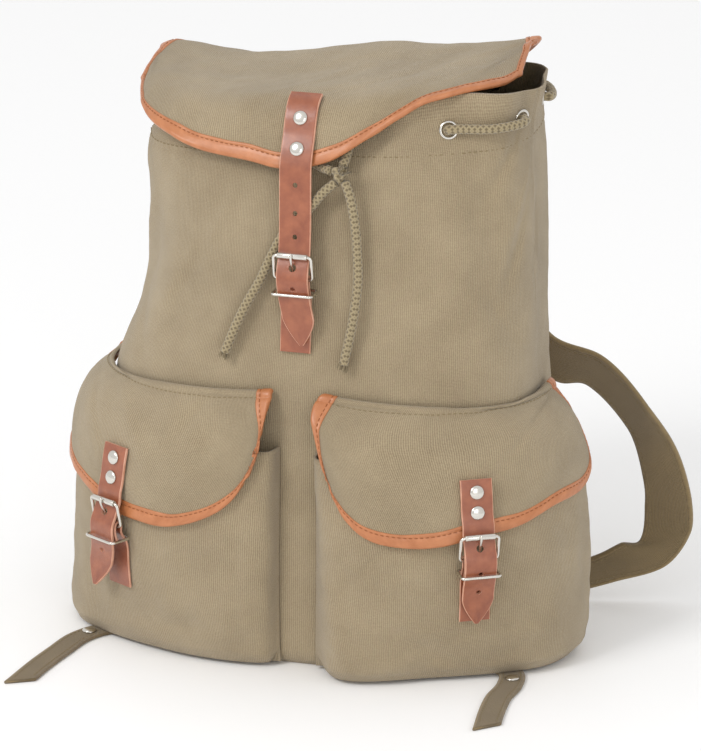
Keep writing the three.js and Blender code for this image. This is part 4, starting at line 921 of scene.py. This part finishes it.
# %% The lid flap
FLAP_ACROSS, FLAP_DOWN, FLAP_TUCKED = 216, 128, 34
FLAP_FACING = (0, -1, 0.4)
flap_folds = ((95, 150, 9, 26, 0.5, -1.2), (150, 140, 7, 24, -0.3, 0.9), (205, 150, 8, 24, -0.6, -1.0),
              (60, 120, 9, 22, 0.9, 0.8), (118, 168, 5, 14, 0.5, -0.7), (178, 165, 5, 16, -0.5, -0.7),
              (235, 120, 9, 22, -0.7, 0.8), (30, 130, 7, 22, 0.8, -0.8))
flap_grid = flap_point(np.linspace(0, 1, FLAP_ACROSS)[None], np.linspace(0, 1, FLAP_DOWN)[:, None])
flap_along, flap_down = grid_places(flap_grid)
flap_slack = (0.5 * soft_noise(flap_along, flap_down, 48, 31)
              + 0.2 * soft_noise(flap_along, flap_down, 17, 32)
              + dents(flap_along, flap_down, flap_folds)) * ease((flap_down - 30) / 40)
flap_grid = raised(flap_grid, FLAP_FACING, flap_slack)
cloth("lid_flap", flap_grid, khaki, ["main_flap"], FLAP_CLOTH, FLAP_CLOTH / 2, FLAP_FACING)
print("lid flap, laid flat:", round(flap_along[:, -1].max()), "x", round(flap_down[-1].max()), "mm")


# %% [markdown]
# ## Bindings
#
# A binding folds round the edge of a flap. Its section is a row of distances in from the edge and
# heights over the cloth, and it is set in from the sides and from the end of the grid alike.


# %% Bindings
STITCH_INSET = 7.0
BINDING_SECTION = (
    (9.5, -0.1), (9.45, 0.45), (9.1, 0.72), (8.3, 0.85), (7.5, 0.68), (7.0, 0.55), (6.5, 0.68),
    (5.6, 0.92), (4.2, 1.0), (2.6, 1.02), (1.2, 1.0), (0.3, 0.85), (-0.5, 0.3), (-0.9, -0.4))


def sampled(values, i, j):
    rows, columns = values.shape[:2]
    i, j = np.clip(i, 0, rows - 1), np.clip(j, 0, columns - 1)
    a, b = np.minimum(i.astype(int), rows - 2), np.minimum(j.astype(int), columns - 2)
    s, t = (i - a)[..., None], (j - b)[..., None]
    return ((1 - s) * (1 - t) * values[a, b] + s * (1 - t) * values[a + 1, b]
            + (1 - s) * t * values[a, b + 1] + s * t * values[a + 1, b + 1])


def binding_lines(grid, skip):
    """The places round the free border of a flap, and a function that insets them."""
    rows, columns = grid.shape[:2]
    end, last = rows - 1, columns - 1
    border = ([(i, 0) for i in range(skip, end)] + [(end, j) for j in range(columns)]
              + [(i, last) for i in range(end - 1, skip - 1, -1)])
    i, j = np.array(border, float).T
    along, down = grid_places(grid)

    def inset(distance):
        across, up = np.arange(columns), np.arange(rows)
        lines, drops = along[i.astype(int)], down.T[j.astype(int)]
        first = np.array([np.interp(distance, line, across) for line in lines])
        far = np.array([np.interp(line[-1] - distance, line, across) for line in lines])
        low = np.array([np.interp(drop[-1] - distance, drop, up) for drop in drops])
        return np.minimum(i, low), np.clip(j, first, far)

    return i, j, inset


def binding(name, grid, skip, facing, nodes):
    """A folded strip over the free edge of a flap, from the row after the skipped ones, and its thread."""
    normals = grid_normals(grid, facing)
    i, j, inset = binding_lines(grid, skip)
    edge, edge_up = sampled(grid, i, j), unit(sampled(normals, i, j))
    outward = unit(edge - sampled(grid, *inset(3.0)))
    lengths = row_lengths(edge)
    waver = 0.25 * np.sin(lengths / 11) + 0.2 * np.sin(lengths / 4.3)
    pucker = 0.1 * np.sin(lengths * 2 * math.pi / 3.6)
    half = FLAP_CLOTH / 2
    rows = []
    for side in (1, -1):
        for distance, height in BINDING_SECTION[::side]:
            if distance > 6:
                steps = [inset(distance - 0.5), inset(distance + 0.5)]
                share = (waver + 0.5)[:, None]
                place = mix(sampled(grid, *steps[0]), sampled(grid, *steps[1]), share)
                up = unit(sampled(normals, *inset(distance)))
            elif distance > 0:
                place, up = sampled(grid, *inset(distance)), unit(sampled(normals, *inset(distance)))
            else:
                place, up = edge - outward * distance, edge_up
            dip = pucker if 6 < distance < 9 else 0 * pucker
            rows.append(place + up * (side * (half + height + dip))[..., None])
    loops = np.stack(rows, 1)
    around = row_lengths(BINDING_SECTION)
    around = np.concatenate([around, around[-1] * 2 + 1 - around[::-1], [around[-1] * 2 + 2]])
    loft(name, loops, around, lengths, [tan_binding], nodes)
    at = inset(STITCH_INSET)
    up = unit(sampled(normals, *at))
    stitches(f"{name}_stitches", sampled(grid, *at) + up * (half + 0.55), up, tan_thread,
             length=2.6, pitch=3.6, radius=0.36)


binding("lid_flap_binding", flap_grid, FLAP_TUCKED, FLAP_FACING, ["main_flap_binding"])

# %% [markdown]
# ## The pockets and their flaps
#
# A table for each pocket gives its plan at six heights. The flaps lie over the pockets and start
# in a seam on the sack.

# %% The shape of the pockets
POCKET_HEIGHT, POCKET_SEAM_HEIGHT, POCKET_FLOOR = 150, 183, 2.8
INNER_SEAM_GAP, OUTER_SEAM_GAP, CORNER_RISE, FOOT_SHARE = 2, 2.6, 9, 0.022
POCKET_FLAP_STANDOFF, TUCK_DEPTH, SEAM_SLOPE = 3.6, 3.2, (4, -6)
plan_columns = "height inner_x inner_y belly_x belly_y outer_x outer_y side_x side_y"
pocket_plans = {
    "right": Table(
        plan_columns,
        (0.015, 0.279, 1.275, 0.64, 1.05, 1.14, 0.5, 1.19, -0.04),
        (0.065, 0.27, 1.34, 0.64, 1.125, 1.19, 0.525, 1.243, -0.05),
        (0.27, 0.229, 1.325, 0.68, 1.175, 1.186, 0.56, 1.257, -0.05),
        (0.55, 0.186, 1.275, 0.68, 1.2, 1.14, 0.62, 1.24, -0.075),
        (0.82, 0.143, 1.21, 0.607, 1.15, 1.07, 0.56, 1.18, -0.025),
        (1.0, 0.1, 1.05, 0.535, 0.93, 0.9, 0.39, 1.02, 0.0)),
    "left": Table(
        plan_columns,
        (0.015, 0.15, 1.1, 0.557, 1.06, 1.13, 0.54, 1.18, -0.05),
        (0.065, 0.143, 1.1625, 0.557, 1.1375, 1.15, 0.575, 1.205, -0.075),
        (0.27, 0.121, 1.2, 0.63, 1.175, 1.115, 0.625, 1.195, -0.075),
        (0.55, 0.107, 1.2, 0.657, 1.19, 1.1, 0.665, 1.18, -0.095),
        (0.82, 0.093, 1.15, 0.57, 1.15, 1.057, 0.59, 1.157, -0.025),
        (1.0, 0.1, 1.05, 0.535, 0.93, 0.9, 0.39, 1.02, 0.0)),
}
pocket_seams = {"right": (1, 0.02, 0.268), "left": (-1, 0.011, 0.268)}


def seam_turn(side, along):
    sign, inner, outer = pocket_seams[side]
    return sign * mix(inner, outer, np.asarray(along, float))


def bag_at(turn, z, outset):
    turn, z = np.broadcast_arrays(np.asarray(turn, float), np.asarray(z, float))
    point = bag_point(turn, z / BAG_HEIGHT, outset)
    point[..., 2] = z
    return point


def pocket_point(side, along, z):
    along, z = np.broadcast_arrays(np.asarray(along, float), np.asarray(z, float))
    sign, plan = pocket_seams[side][0], pocket_plans[side]
    read = lambda column: plan.read(column, z / POCKET_SEAM_HEIGHT)
    corners = [vector(sign * read(f"{name}_x") * HALF_WIDTH, -read(f"{name}_y") * HALF_DEPTH, z)
               for name in ("inner", "belly", "outer", "side")]
    return curve_at([bag_at(seam_turn(side, 0), z, INNER_SEAM_GAP), *corners,
                     bag_at(seam_turn(side, 1), z, OUTER_SEAM_GAP)], along)


def pocket_out(side, along, z):
    before, after = np.maximum(along - 0.01, 0), np.minimum(along + 0.01, 1)
    across = pocket_point(side, after, z) - pocket_point(side, before, z)
    upward = pocket_point(side, along, z + 1) - pocket_point(side, along, z - 1)
    return unit(np.cross(across, upward) * pocket_seams[side][0])


# %% The pockets
POCKET_AROUND, POCKET_DOWN, POCKET_UNDER = 230, 120, 12
POCKET_FACING, POCKET_FLAP_FACING = (0, -1, 0), (0, -1, 0.2)
# Folds of each pocket: how far along it and down from its rim, half sizes, lean and depth.
pocket_folds = {
    "right": ((62, 60, 6, 26, -0.9, -1.5), (95, 128, 9, 12, 1.2, -2.0), (70, 136, 20, 7, 0.2, 1.6),
              (150, 120, 22, 8, -0.6, 1.2), (218, 100, 8, 34, 0.12, -1.4), (205, 60, 7, 30, -0.1, 1.0),
              (40, 90, 5, 30, 0.05, -0.9), (128, 90, 9, 40, 0.1, 0.9)),
    "left": ((34, 80, 5, 46, 0.02, -1.1), (70, 126, 16, 8, 0.5, -1.5), (110, 134, 20, 7, -0.3, 1.4),
             (150, 110, 8, 26, -0.2, -1.3), (190, 95, 9, 34, 0.1, 1.0), (90, 70, 9, 34, 0.12, -0.9),
             (215, 110, 8, 30, 0.1, -1.1)),
}
for side in ("left", "right"):
    sign = pocket_seams[side][0]
    along = np.linspace(0, 1, POCKET_AROUND)
    near_seam = 1 - ease(np.minimum(along, 1 - along) / 0.14)
    low = POCKET_FLOOR + CORNER_RISE * near_seam
    shares = 1 - np.linspace(0, 1, POCKET_DOWN) ** 0.8
    wall = pocket_point(side, along[None], mix(low[None], POCKET_HEIGHT, shares[:, None]))
    foot = bag_point(seam_turn(side, along), FOOT_SHARE, mix(INNER_SEAM_GAP, OUTER_SEAM_GAP, along))
    foot[..., 2] = POCKET_FLOOR
    under = mix(wall[-1][None], foot[None], (np.arange(1, POCKET_UNDER + 1) / POCKET_UNDER)[:, None, None])
    far, down = grid_places(wall)
    slack = (0.55 * soft_noise(far, down, 46, 41 + sign) + 0.22 * soft_noise(far, down, 16, 45 + sign)
             + dents(far, down, pocket_folds[side]))
    calm = ease(1 - near_seam) * ease((POCKET_HEIGHT - down) / 8)
    wall = raised(wall, POCKET_FACING, slack * calm)
    grid = np.concatenate([wall, under])
    cloth(f"pocket_{side}_cloth", grid, khaki, [f"pocket_{side}"], CLOTH, 0.0, POCKET_FACING)
    print(f"pocket_{side}, laid flat:", round(far[:, -1].max()), "x", round(down[-1].max()), "mm")

# %% The pocket flaps
POCKET_FLAP_ACROSS, POCKET_FLAP_DOWN, POCKET_FLAP_TUCKED, RIDGE_STITCH = 190, 88, 4, 6.2
flap_columns = Table(
    "station seam start edge right left",
    (0.0, 0.03, 0.2, 0.238, 0.765, 0.82), (0.1, 0.08, 0.225, 0.262, 0.645, 0.68),
    (0.22, 0.15, 0.255, 0.3, 0.568, 0.59), (0.36, 0.25, 0.3, 0.36, 0.541, 0.53),
    (0.48, 0.37, 0.39, 0.42, 0.546, 0.53), (0.6, 0.5, 0.51, 0.48, 0.574, 0.541),
    (0.7, 0.62, 0.63, 0.54, 0.59, 0.585), (0.8, 0.74, 0.75, 0.62, 0.634, 0.628),
    (0.9, 0.87, 0.87, 0.72, 0.65, 0.65), (1.0, 1.0, 0.97, 0.81, 0.727, 0.727))
pocket_flap_folds = {
    "right": ((160, 20, 5, 22, -1.0, -1.3), (60, 40, 8, 20, 0.4, 0.9), (100, 30, 7, 22, 0.3, -0.8)),
    "left": ((55, 24, 6, 18, 0.9, -1.1), (105, 34, 8, 22, -0.4, 0.9), (150, 30, 7, 22, -0.6, -0.9)),
}


def pocket_flap_point(side, station, down):
    station, down = np.broadcast_arrays(np.asarray(station, float), np.asarray(down, float))
    at = {column: flap_columns.read(column, station) for column in flap_columns.columns[1:]}
    seam_z = POCKET_SEAM_HEIGHT + mix(*SEAM_SLOPE, station)
    z = mix(seam_z, at[side] * POCKET_SEAM_HEIGHT, down)
    along = mix(at["start"], at["edge"], down)
    lying = pocket_point(side, along, z) + pocket_out(side, along, z) * POCKET_FLAP_STANDOFF
    seam = bag_at(seam_turn(side, at["seam"]), seam_z, TUCK_DEPTH)
    return mix(seam, lying, ease(down / 0.3)[..., None])


for side in ("left", "right"):
    sign = pocket_seams[side][0]
    grid = pocket_flap_point(side, np.linspace(0, 1, POCKET_FLAP_ACROSS)[None],
                             np.linspace(0, 1, POCKET_FLAP_DOWN)[:, None])
    far, down = grid_places(grid)
    ridge = 0.9 * np.exp(-((down - 2.6) / 2.2) ** 2) - 0.5 * np.exp(-((down - RIDGE_STITCH) / 1.4) ** 2)
    slack = (0.35 * soft_noise(far, down, 40, 51 + sign) + 0.16 * soft_noise(far, down, 15, 55 + sign)
             + dents(far, down, pocket_flap_folds[side]))
    grid = raised(grid, POCKET_FLAP_FACING, ridge + slack * ease((down - 4) / 10))
    name = f"pocket_flap_{side}"
    cloth(f"{name}_cloth", grid, khaki, [name], FLAP_CLOTH, FLAP_CLOTH / 2, POCKET_FLAP_FACING)
    binding(f"{name}_edge", grid, POCKET_FLAP_TUCKED, POCKET_FLAP_FACING, [f"{name}_binding"])
    row = int(np.argmin(np.abs(down[:, POCKET_FLAP_ACROSS // 2] - RIDGE_STITCH)))
    normals = grid_normals(grid, POCKET_FLAP_FACING)[row, 10:-10]
    stitches(f"{name}_seam", grid[row, 10:-10] + normals * FLAP_CLOTH / 2, normals, khaki_thread,
             lift=0.1)
    print(f"{name}, laid flat:", round(far[:, -1].max()), "x", round(down[-1].max()), "mm")

# %% [markdown]
# ## Straps, buckles and rivets
#
# Each set is made in its own frame, as in the model: X across the strap, -Y out from the sack and
# +Z up, with the bar of the buckle at zero. The holes are cut through the leather.

# %% Strap sizes
STRAP_WIDTH, STRAP_THICKNESS, TAB_THICKNESS, TIP_LENGTH = 21, 2, 1.6, 18
HOLE_RADIUS, PRONG_HOLE, RIVET_RADIUS = 1.7, 8, 4.6
WIRE, HALF_BUCKLE, BUCKLE_LENGTH, ROLLER_RADIUS, PRONG_RADIUS, KEEPER_WIRE = 1.1, 12.4, 16, 2, 0.85, 1
LEATHER_GAP = 0.3


class Frame:
    """A place and a turn about the vertical: points are given as shift, out and up."""

    def __init__(self, origin, turn):
        self.origin, self.turn = np.asarray(origin, float), math.radians(turn)

    def point(self, shift, out, up):
        c, s = math.cos(self.turn), math.sin(self.turn)
        shift, out, up = (np.asarray(v, float) for v in (shift, out, up))
        return self.origin + vector(c * shift + s * out, s * shift - c * out, up)

    def way(self, shift, out, up):
        return self.point(shift, out, up) - self.origin


def punch(piece, cutters):
    """Cuts closed shapes out of a piece; the walls of the cuts take the shapes' material."""
    for cutter in cutters:
        change = piece.modifiers.new("cut", "BOOLEAN")
        change.operation, change.solver, change.object = "DIFFERENCE", "EXACT", cutter
        change.material_mode = "TRANSFER"
    state = bpy.context.evaluated_depsgraph_get()
    mesh = bpy.data.meshes.new_from_object(piece.evaluated_get(state))
    piece.modifiers.clear()
    piece.data = mesh
    mesh.set_sharp_from_angle(angle=math.radians(40))
    for cutter in cutters:
        bpy.data.objects.remove(cutter)


def cutter_shape(name, middle, axis, radius, reach):
    outline = [(0.001, -reach), (radius, -reach), (radius, reach), (0.001, reach)]
    return lathe(name, outline, 24, [(middle, axis)], [cut_edge])


def rounded_frame(frame, half, centre, start, end, corner):
    """Points round a rectangle with round corners, between two places in out and up."""
    reach = math.hypot(end[0] - start[0], end[1] - start[1])
    points = []
    for cx, cy, first in ((half - corner, corner, -90), (half - corner, reach - corner, 0),
                          (-half + corner, reach - corner, 90), (-half + corner, corner, 180)):
        for angle in np.radians(np.linspace(first, first + 90, 8)):
            x, along = cx + corner * math.cos(angle), (cy + corner * math.sin(angle)) / reach
            points.append((centre + x, mix(start[0], end[0], along), mix(start[1], end[1], along)))
    dense = []
    for a, b in zip(points, points[1:] + points[:1]):
        steps = max(int(math.dist(a, b) / 1.5), 1)
        dense += [np.array(a) + (np.array(b) - np.array(a)) * k / steps for k in range(steps)]
    return frame.point(*np.array(dense).T)


rivet_outline = [(0.001, 0), (RIVET_RADIUS - 0.5, -0.3), (RIVET_RADIUS, 0.0), (RIVET_RADIUS + 0.05, 0.35),
                 (RIVET_RADIUS - 0.35, 0.8), (3.6, 1.25), (2.6, 1.55), (1.3, 1.75), (0.001, 1.8)]


def strap_set(name, frame, bar, roller, rows, tab_end, holes, keeper, rivets):
    """A strap with its tab, buckle, keeper and rivets; rows are shift, out and up along the strap."""
    route = Route(frame.point(*np.array(rows).T))
    along = np.linspace(0, route.length, int(route.length / 0.9))
    centres, ways = route.at(along), route.along(along)
    tip = np.clip((along - (route.length - TIP_LENGTH)) / TIP_LENGTH, 0, 1)
    halves = frame.way(1, 0, 0) * (STRAP_WIDTH / 2 * (1 - 0.86 * tip ** 1.5))[:, None]
    strap = ribbon(f"{name}_strap_leather", centres, ways, -halves, STRAP_THICKNESS,
                   [strap_leather, cut_edge], [f"{name}_strap"], corner=0.3, crown=0.12)
    cutters = []
    for up, radius in [(up, HOLE_RADIUS) for up in holes] + [(PRONG_HOLE, HOLE_RADIUS + 0.8)]:
        place = route.where(frame.origin[2] + up)
        face = np.cross(route.along(place), frame.way(1, 0, 0))
        cutters.append(cutter_shape("hole", route.at(place), face, radius, 4))
    punch(strap, cutters)

    turn = TAB_THICKNESS / 2 + WIRE + 0.7
    bend = [(0, bar - turn, -5), (0, bar - turn, 0), (0, bar - turn * 0.7, turn * 0.7), (0, bar, turn),
            (0, bar + turn * 0.7, turn * 0.7), (0, bar + turn, 0), (0, bar + turn, -5), (0, bar + 0.6, -11)]
    tab_rows = [(0, out, up) for out, up in tab_end] + bend
    tab_route = Route(frame.point(*np.array(tab_rows).T))
    tab_along = np.linspace(0, tab_route.length, int(tab_route.length / 0.7))
    half = np.broadcast_to(frame.way(1, 0, 0) * (STRAP_WIDTH / 2 - 0.4), (len(tab_along), 3))
    tab = ribbon(f"{name}_tab_leather", tab_route.at(tab_along), tab_route.along(tab_along), half,
                 TAB_THICKNESS, [strap_leather, cut_edge], [f"{name}_tab"], corner=0.3)
    slot = cutter_shape("slot", frame.point(0, bar, 0.6), frame.way(0, 1, 0), 2.9, 4.5)
    punch(tab, [slot])

    low, high = (bar, 0), (roller, BUCKLE_LENGTH)
    tube(f"{name}_buckle_frame", rounded_frame(frame, HALF_BUCKLE, 0, low, high, 2.4), WIRE, 14,
         [bright_nickel], [f"{name}_buckle"], closed=True)
    reach = HALF_BUCKLE - 2.6
    sleeve_outline = [(WIRE + 0.3, -reach), (ROLLER_RADIUS - 0.2, -reach), (ROLLER_RADIUS, -reach + 0.3),
                      (ROLLER_RADIUS, reach - 0.3), (ROLLER_RADIUS - 0.2, reach), (WIRE + 0.3, reach),
                      (WIRE + 0.3, -reach)]
    lathe(f"{name}_roller_sleeve", sleeve_outline, 28, [(frame.point(0, *high), frame.way(1, 0, 0))],
          [bright_nickel], [f"{name}_roller"])
    prong_rows = [(0, bar + 0.9, 1.4), (0, bar + 1.2, 5.2), (0, bar + 2.6, 8.6), (0, bar + 4.6, 11.6),
                  (0, roller + 3.1, 16), (0, roller + 2.7, 18.6)]
    prong_route = Route(frame.point(*np.array(prong_rows).T))
    tube(f"{name}_prong_pin", prong_route.at(np.linspace(0, prong_route.length, 40)), PRONG_RADIUS, 12,
         [bright_nickel], [f"{name}_prong"],
         relief=lambda girth, length: 0 * girth - 3 * np.clip(length / prong_route.length - 0.9, 0, 1))
    eye = [(WIRE + 0.2, -1.5), (WIRE + 1.0, -1.3), (WIRE + 1.1, 0), (WIRE + 1.0, 1.3), (WIRE + 0.2, 1.5),
           (WIRE + 0.2, -1.5)]
    lathe(f"{name}_prong_eye", eye, 24, [(frame.point(0, *low), frame.way(1, 0, 0))], [bright_nickel])
    up, back, front, centre, half_keeper = keeper
    tube(f"{name}_keeper_wire", rounded_frame(frame, half_keeper, centre, (back, up), (front, up), 2.2),
         KEEPER_WIRE, 14, [bright_nickel], [f"{name}_keeper"], closed=True)
    heads = []
    for up in rivets:
        place = route.where(frame.origin[2] + up)
        face = unit(np.cross(route.along(place), frame.way(1, 0, 0)))
        heads.append((route.at(place) + face * (STRAP_THICKNESS / 2 + 0.35), face))
    lathe(f"{name}_rivet_heads", rivet_outline, 36, heads, [bright_nickel],
          [f"{name}_rivet_1", f"{name}_rivet_2"])


# %% The main strap
MAIN_ORIGIN = np.array((0, -68, 263.0))
main_rows = []
for share, lift in ((0.77, 3.8), (0.8, 4.1), (0.84, 3.5), (0.9, 3.4), (0.95, 5.4), (1, 5.6)):
    place = flap_point(0.492, share)
    tangent = unit(flap_point(0.492, min(share + 0.004, 1)) - flap_point(0.492, share - 0.004))
    face = unit(vector(0, tangent[2], -tangent[1]))
    place = place + face * lift - MAIN_ORIGIN
    main_rows.append((-1, -place[1], place[2]))
main_rows += [(-0.6, 3.5, 59), (0, 6, 37), (0.3, 8.3, 22), (0.3, 9.5, 16), (0.3, 13.5, 7), (0.6, 15.5, 0),
              (1.4, 14, -11), (3.4, 10.5, -28), (5, 9.5, -44)]
strap_set("main", Frame(MAIN_ORIGIN, 0), 10.5, 13.5, main_rows, [(6.8, -50), (4.8, -30), (4.4, -14)],
          [60, 42, 27, -5], (-9, 2.8, 17.4, 0.7, 13.2), [100, 82])

# %% The pocket straps
STRAP_ALONG, BAR_HEIGHT = 0.47, 91
# Rows of height over the bar, distance from the pocket and shift aside; the upper ones are shared.
upper_rows = [(51, 6.4, 0), (43, 6.4, 0), (28, 6.7, 0), (22, 8, 0.2), (16, 8.2, 0.2), (7, 11.4, 0.2)]
pocket_straps = {
    "right": (30, [(0, 14, 0.2), (-9, 13.4, 0), (-20, 9.4, 0), (-45, 6.5, 0)], [-8, -22]),
    "left": (-30, [(0, 14, 0), (-9, 13.4, -0.8), (-20, 11, -4), (-33, 11, -8), (-45, 14, -11)], [-19]),
}
for side, (turn, rows, holes) in pocket_straps.items():
    origin = pocket_point(side, STRAP_ALONG, BAR_HEIGHT)
    outward = np.array((math.sin(math.radians(turn)), -math.cos(math.radians(turn)), 0))
    face_at = lambda up: float((pocket_point(side, STRAP_ALONG, BAR_HEIGHT + up) - origin) @ outward)
    strap_set(f"pocket_{side}", Frame(origin, turn), 8.6, 11.8,
              [(shift, face_at(up) + standoff, up) for up, standoff, shift in upper_rows + rows],
              [(face_at(up) + 1.6, up) for up in (-45, -30, -14)], holes, (-9.5, 1.4, 16.8, 0, 12.6),
              [43, 30])
    print(f"pocket_{side} strap hangs from", np.round(origin).astype(int))

# %% [markdown]
# ## The shoulder straps and the lower straps

# %% Shoulder straps
# Rows of the strap's middle and of its half width, each as x, y and z.
shoulder_rows = {
    "right": [
        (25, 78.8, 312, 15, 0, 8.6), (75, 92, 245, 13.6, -3.4, 9.4), (126, 98, 165, 1.6, -5.6, 16.8),
        (154.5, 100, 157.5, 7, -9.2, 13.4), (184, 100, 128, 7.9, -9.7, 12.6), (200, 100, 96, 11.9, -3.6, 12.7),
        (206, 100, 69.5, 16.6, -3.5, 4.5), (204, 100, 44.5, 17.1, -0.5, 3.5), (190, 97, 32, 14.5, 3, -8),
        (168, 91, 23, 5, 1, -10), (150, 85, 17, 2, 0, -10)],
    "left": [
        (-25, 78.8, 312, -15, 0, 8.6), (-60, 95, 270, -14, 0, 10), (-95, 112, 190, -16, 2, 5),
        (-108, 116, 120, -17, 2, 0), (-112, 108, 60, -15, 2, -3), (-126, 94, 27, -9, 2, -7),
        (-146, 84, 15, -3, 1, -9)],
}
SHOULDER_THICKNESS, HEM_INSET = 3, 4.5
for side, rows in shoulder_rows.items():
    rows = np.array(rows, float)
    shares = np.linspace(0, 1, 320)
    middle, across = curve_at(rows[:, :3], shares), curve_at(rows[:, 3:], shares)
    way = unit(np.gradient(middle, axis=0))
    ribbon(f"shoulder_strap_{side}_cloth", middle, way, across, SHOULDER_THICKNESS,
           [webbing, webbing, webbing], [f"shoulder_strap_{side}"], corner=0.4)
    face = unit(np.cross(way, across))
    width = np.linalg.norm(across, axis=1, keepdims=True)
    for number, (edge, front) in enumerate(((1, 1), (-1, 1), (1, -1), (-1, -1))):
        line = middle + unit(across) * edge * (width - HEM_INSET) + face * front * SHOULDER_THICKNESS / 2
        stitches(f"shoulder_{side}_stitches_{number + 1}", line[6:-6], face[6:-6] * front, khaki_thread)

# %% Lower straps
LOWER_WIDTH, LOWER_THICKNESS, LOWER_SLANT = 17, 2.2, 6
lower_height = LEATHER_GAP + LOWER_THICKNESS / 2
lower_straps = {
    "left": ([(-122.5, -47.5), (-137, -56), (-148.5, -74), (-154, -102), (-158, -128), (-161, -157)],
             (-145, -65)),
    "right": ([(123, -45), (139, -57), (143.5, -78), (142, -100), (144, -126), (147, -148)],
              (143, -69)),
}
for side, (route, rivet) in lower_straps.items():
    line = Route([(x, y, lower_height) for x, y in route])
    distances = np.linspace(0, line.length, 150)
    middle, way = line.at(distances), line.along(distances)
    slant = np.clip(1 - (line.length - distances) / 14, 0, 1)[:, None] * LOWER_SLANT
    half = unit(np.cross(way, (0, 0, 1))) * LOWER_WIDTH / 2 + way * slant
    ribbon(f"lower_strap_{side}_cloth", middle, way, half, LOWER_THICKNESS, [webbing, webbing],
           [f"lower_strap_{side}"], corner=0.4)
    for number, edge in enumerate((1, -1)):
        seam = middle + unit(half) * edge * (LOWER_WIDTH / 2 - 3) + (0, 0, LOWER_THICKNESS / 2)
        seam = seam[4:-4]
        stitches(f"lower_{side}_stitches_{number + 1}", seam, np.broadcast_to((0, 0, 1), seam.shape),
                 khaki_thread)
    head = ((*rivet, 2 * lower_height + 0.2), (0, 0, 1))
    lathe(f"lower_strap_{side}_rivet_head", rivet_outline, 36, [head], [bright_nickel],
          [f"lower_strap_{side}_rivet"])

# %% [markdown]
# ## Floor and light
#
# A pale floor runs into a white surround, with large soft lights from the upper left and the
# front, as in a product studio.

# %% Floor, surround and lights
SURROUND_STRENGTH, LIGHT_AIM_HEIGHT = 0.86, 0.17
floor_mesh = bpy.data.meshes.new("floor")
floor_mesh.from_pydata([(-6, -6, 0), (6, -6, 0), (6, 6, 0), (-6, 6, 0)], [], [(0, 1, 2, 3)])
floor = bpy.data.objects.new("floor", floor_mesh)
bpy.context.collection.objects.link(floor)
paper = Shader("white_paper", Base_Color=srgb("#ffffff"), Roughness=0.9)
floor_mesh.materials.append(paper.material)
floor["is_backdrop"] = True

surround = bpy.data.worlds.new("white_surround")
surround.use_nodes = True
background = surround.node_tree.nodes["Background"]
background.inputs["Color"].default_value = srgb("#ffffff")
background.inputs["Strength"].default_value = SURROUND_STRENGTH
bpy.context.scene.world = surround


def soft_light(name, place, size, power):
    light = bpy.data.lights.new(name, "AREA")
    light.size, light.energy = size, power
    holder = bpy.data.objects.new(name, light)
    holder.location = place
    aim = Vector(place) - Vector((0, 0, LIGHT_AIM_HEIGHT))
    holder.rotation_euler = aim.to_track_quat("Z", "Y").to_euler()
    bpy.context.collection.objects.link(holder)


soft_light("key_light", (-1.1, -1.9, 2.0), 0.8, 26)
soft_light("front_fill", (1.4, -2.4, 1.0), 1.2, 9)
bpy.context.scene.view_settings.view_transform = "Standard"
print("lights:", len(bpy.data.lights))

# %% Sizes and the end
as_lists = lambda corners: [[round(value, 5) for value in corner] for corner in corners]
{"cad": as_lists(cad_bounds), "final": as_lists(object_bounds())}
print("bounds:", as_lists(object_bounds()))
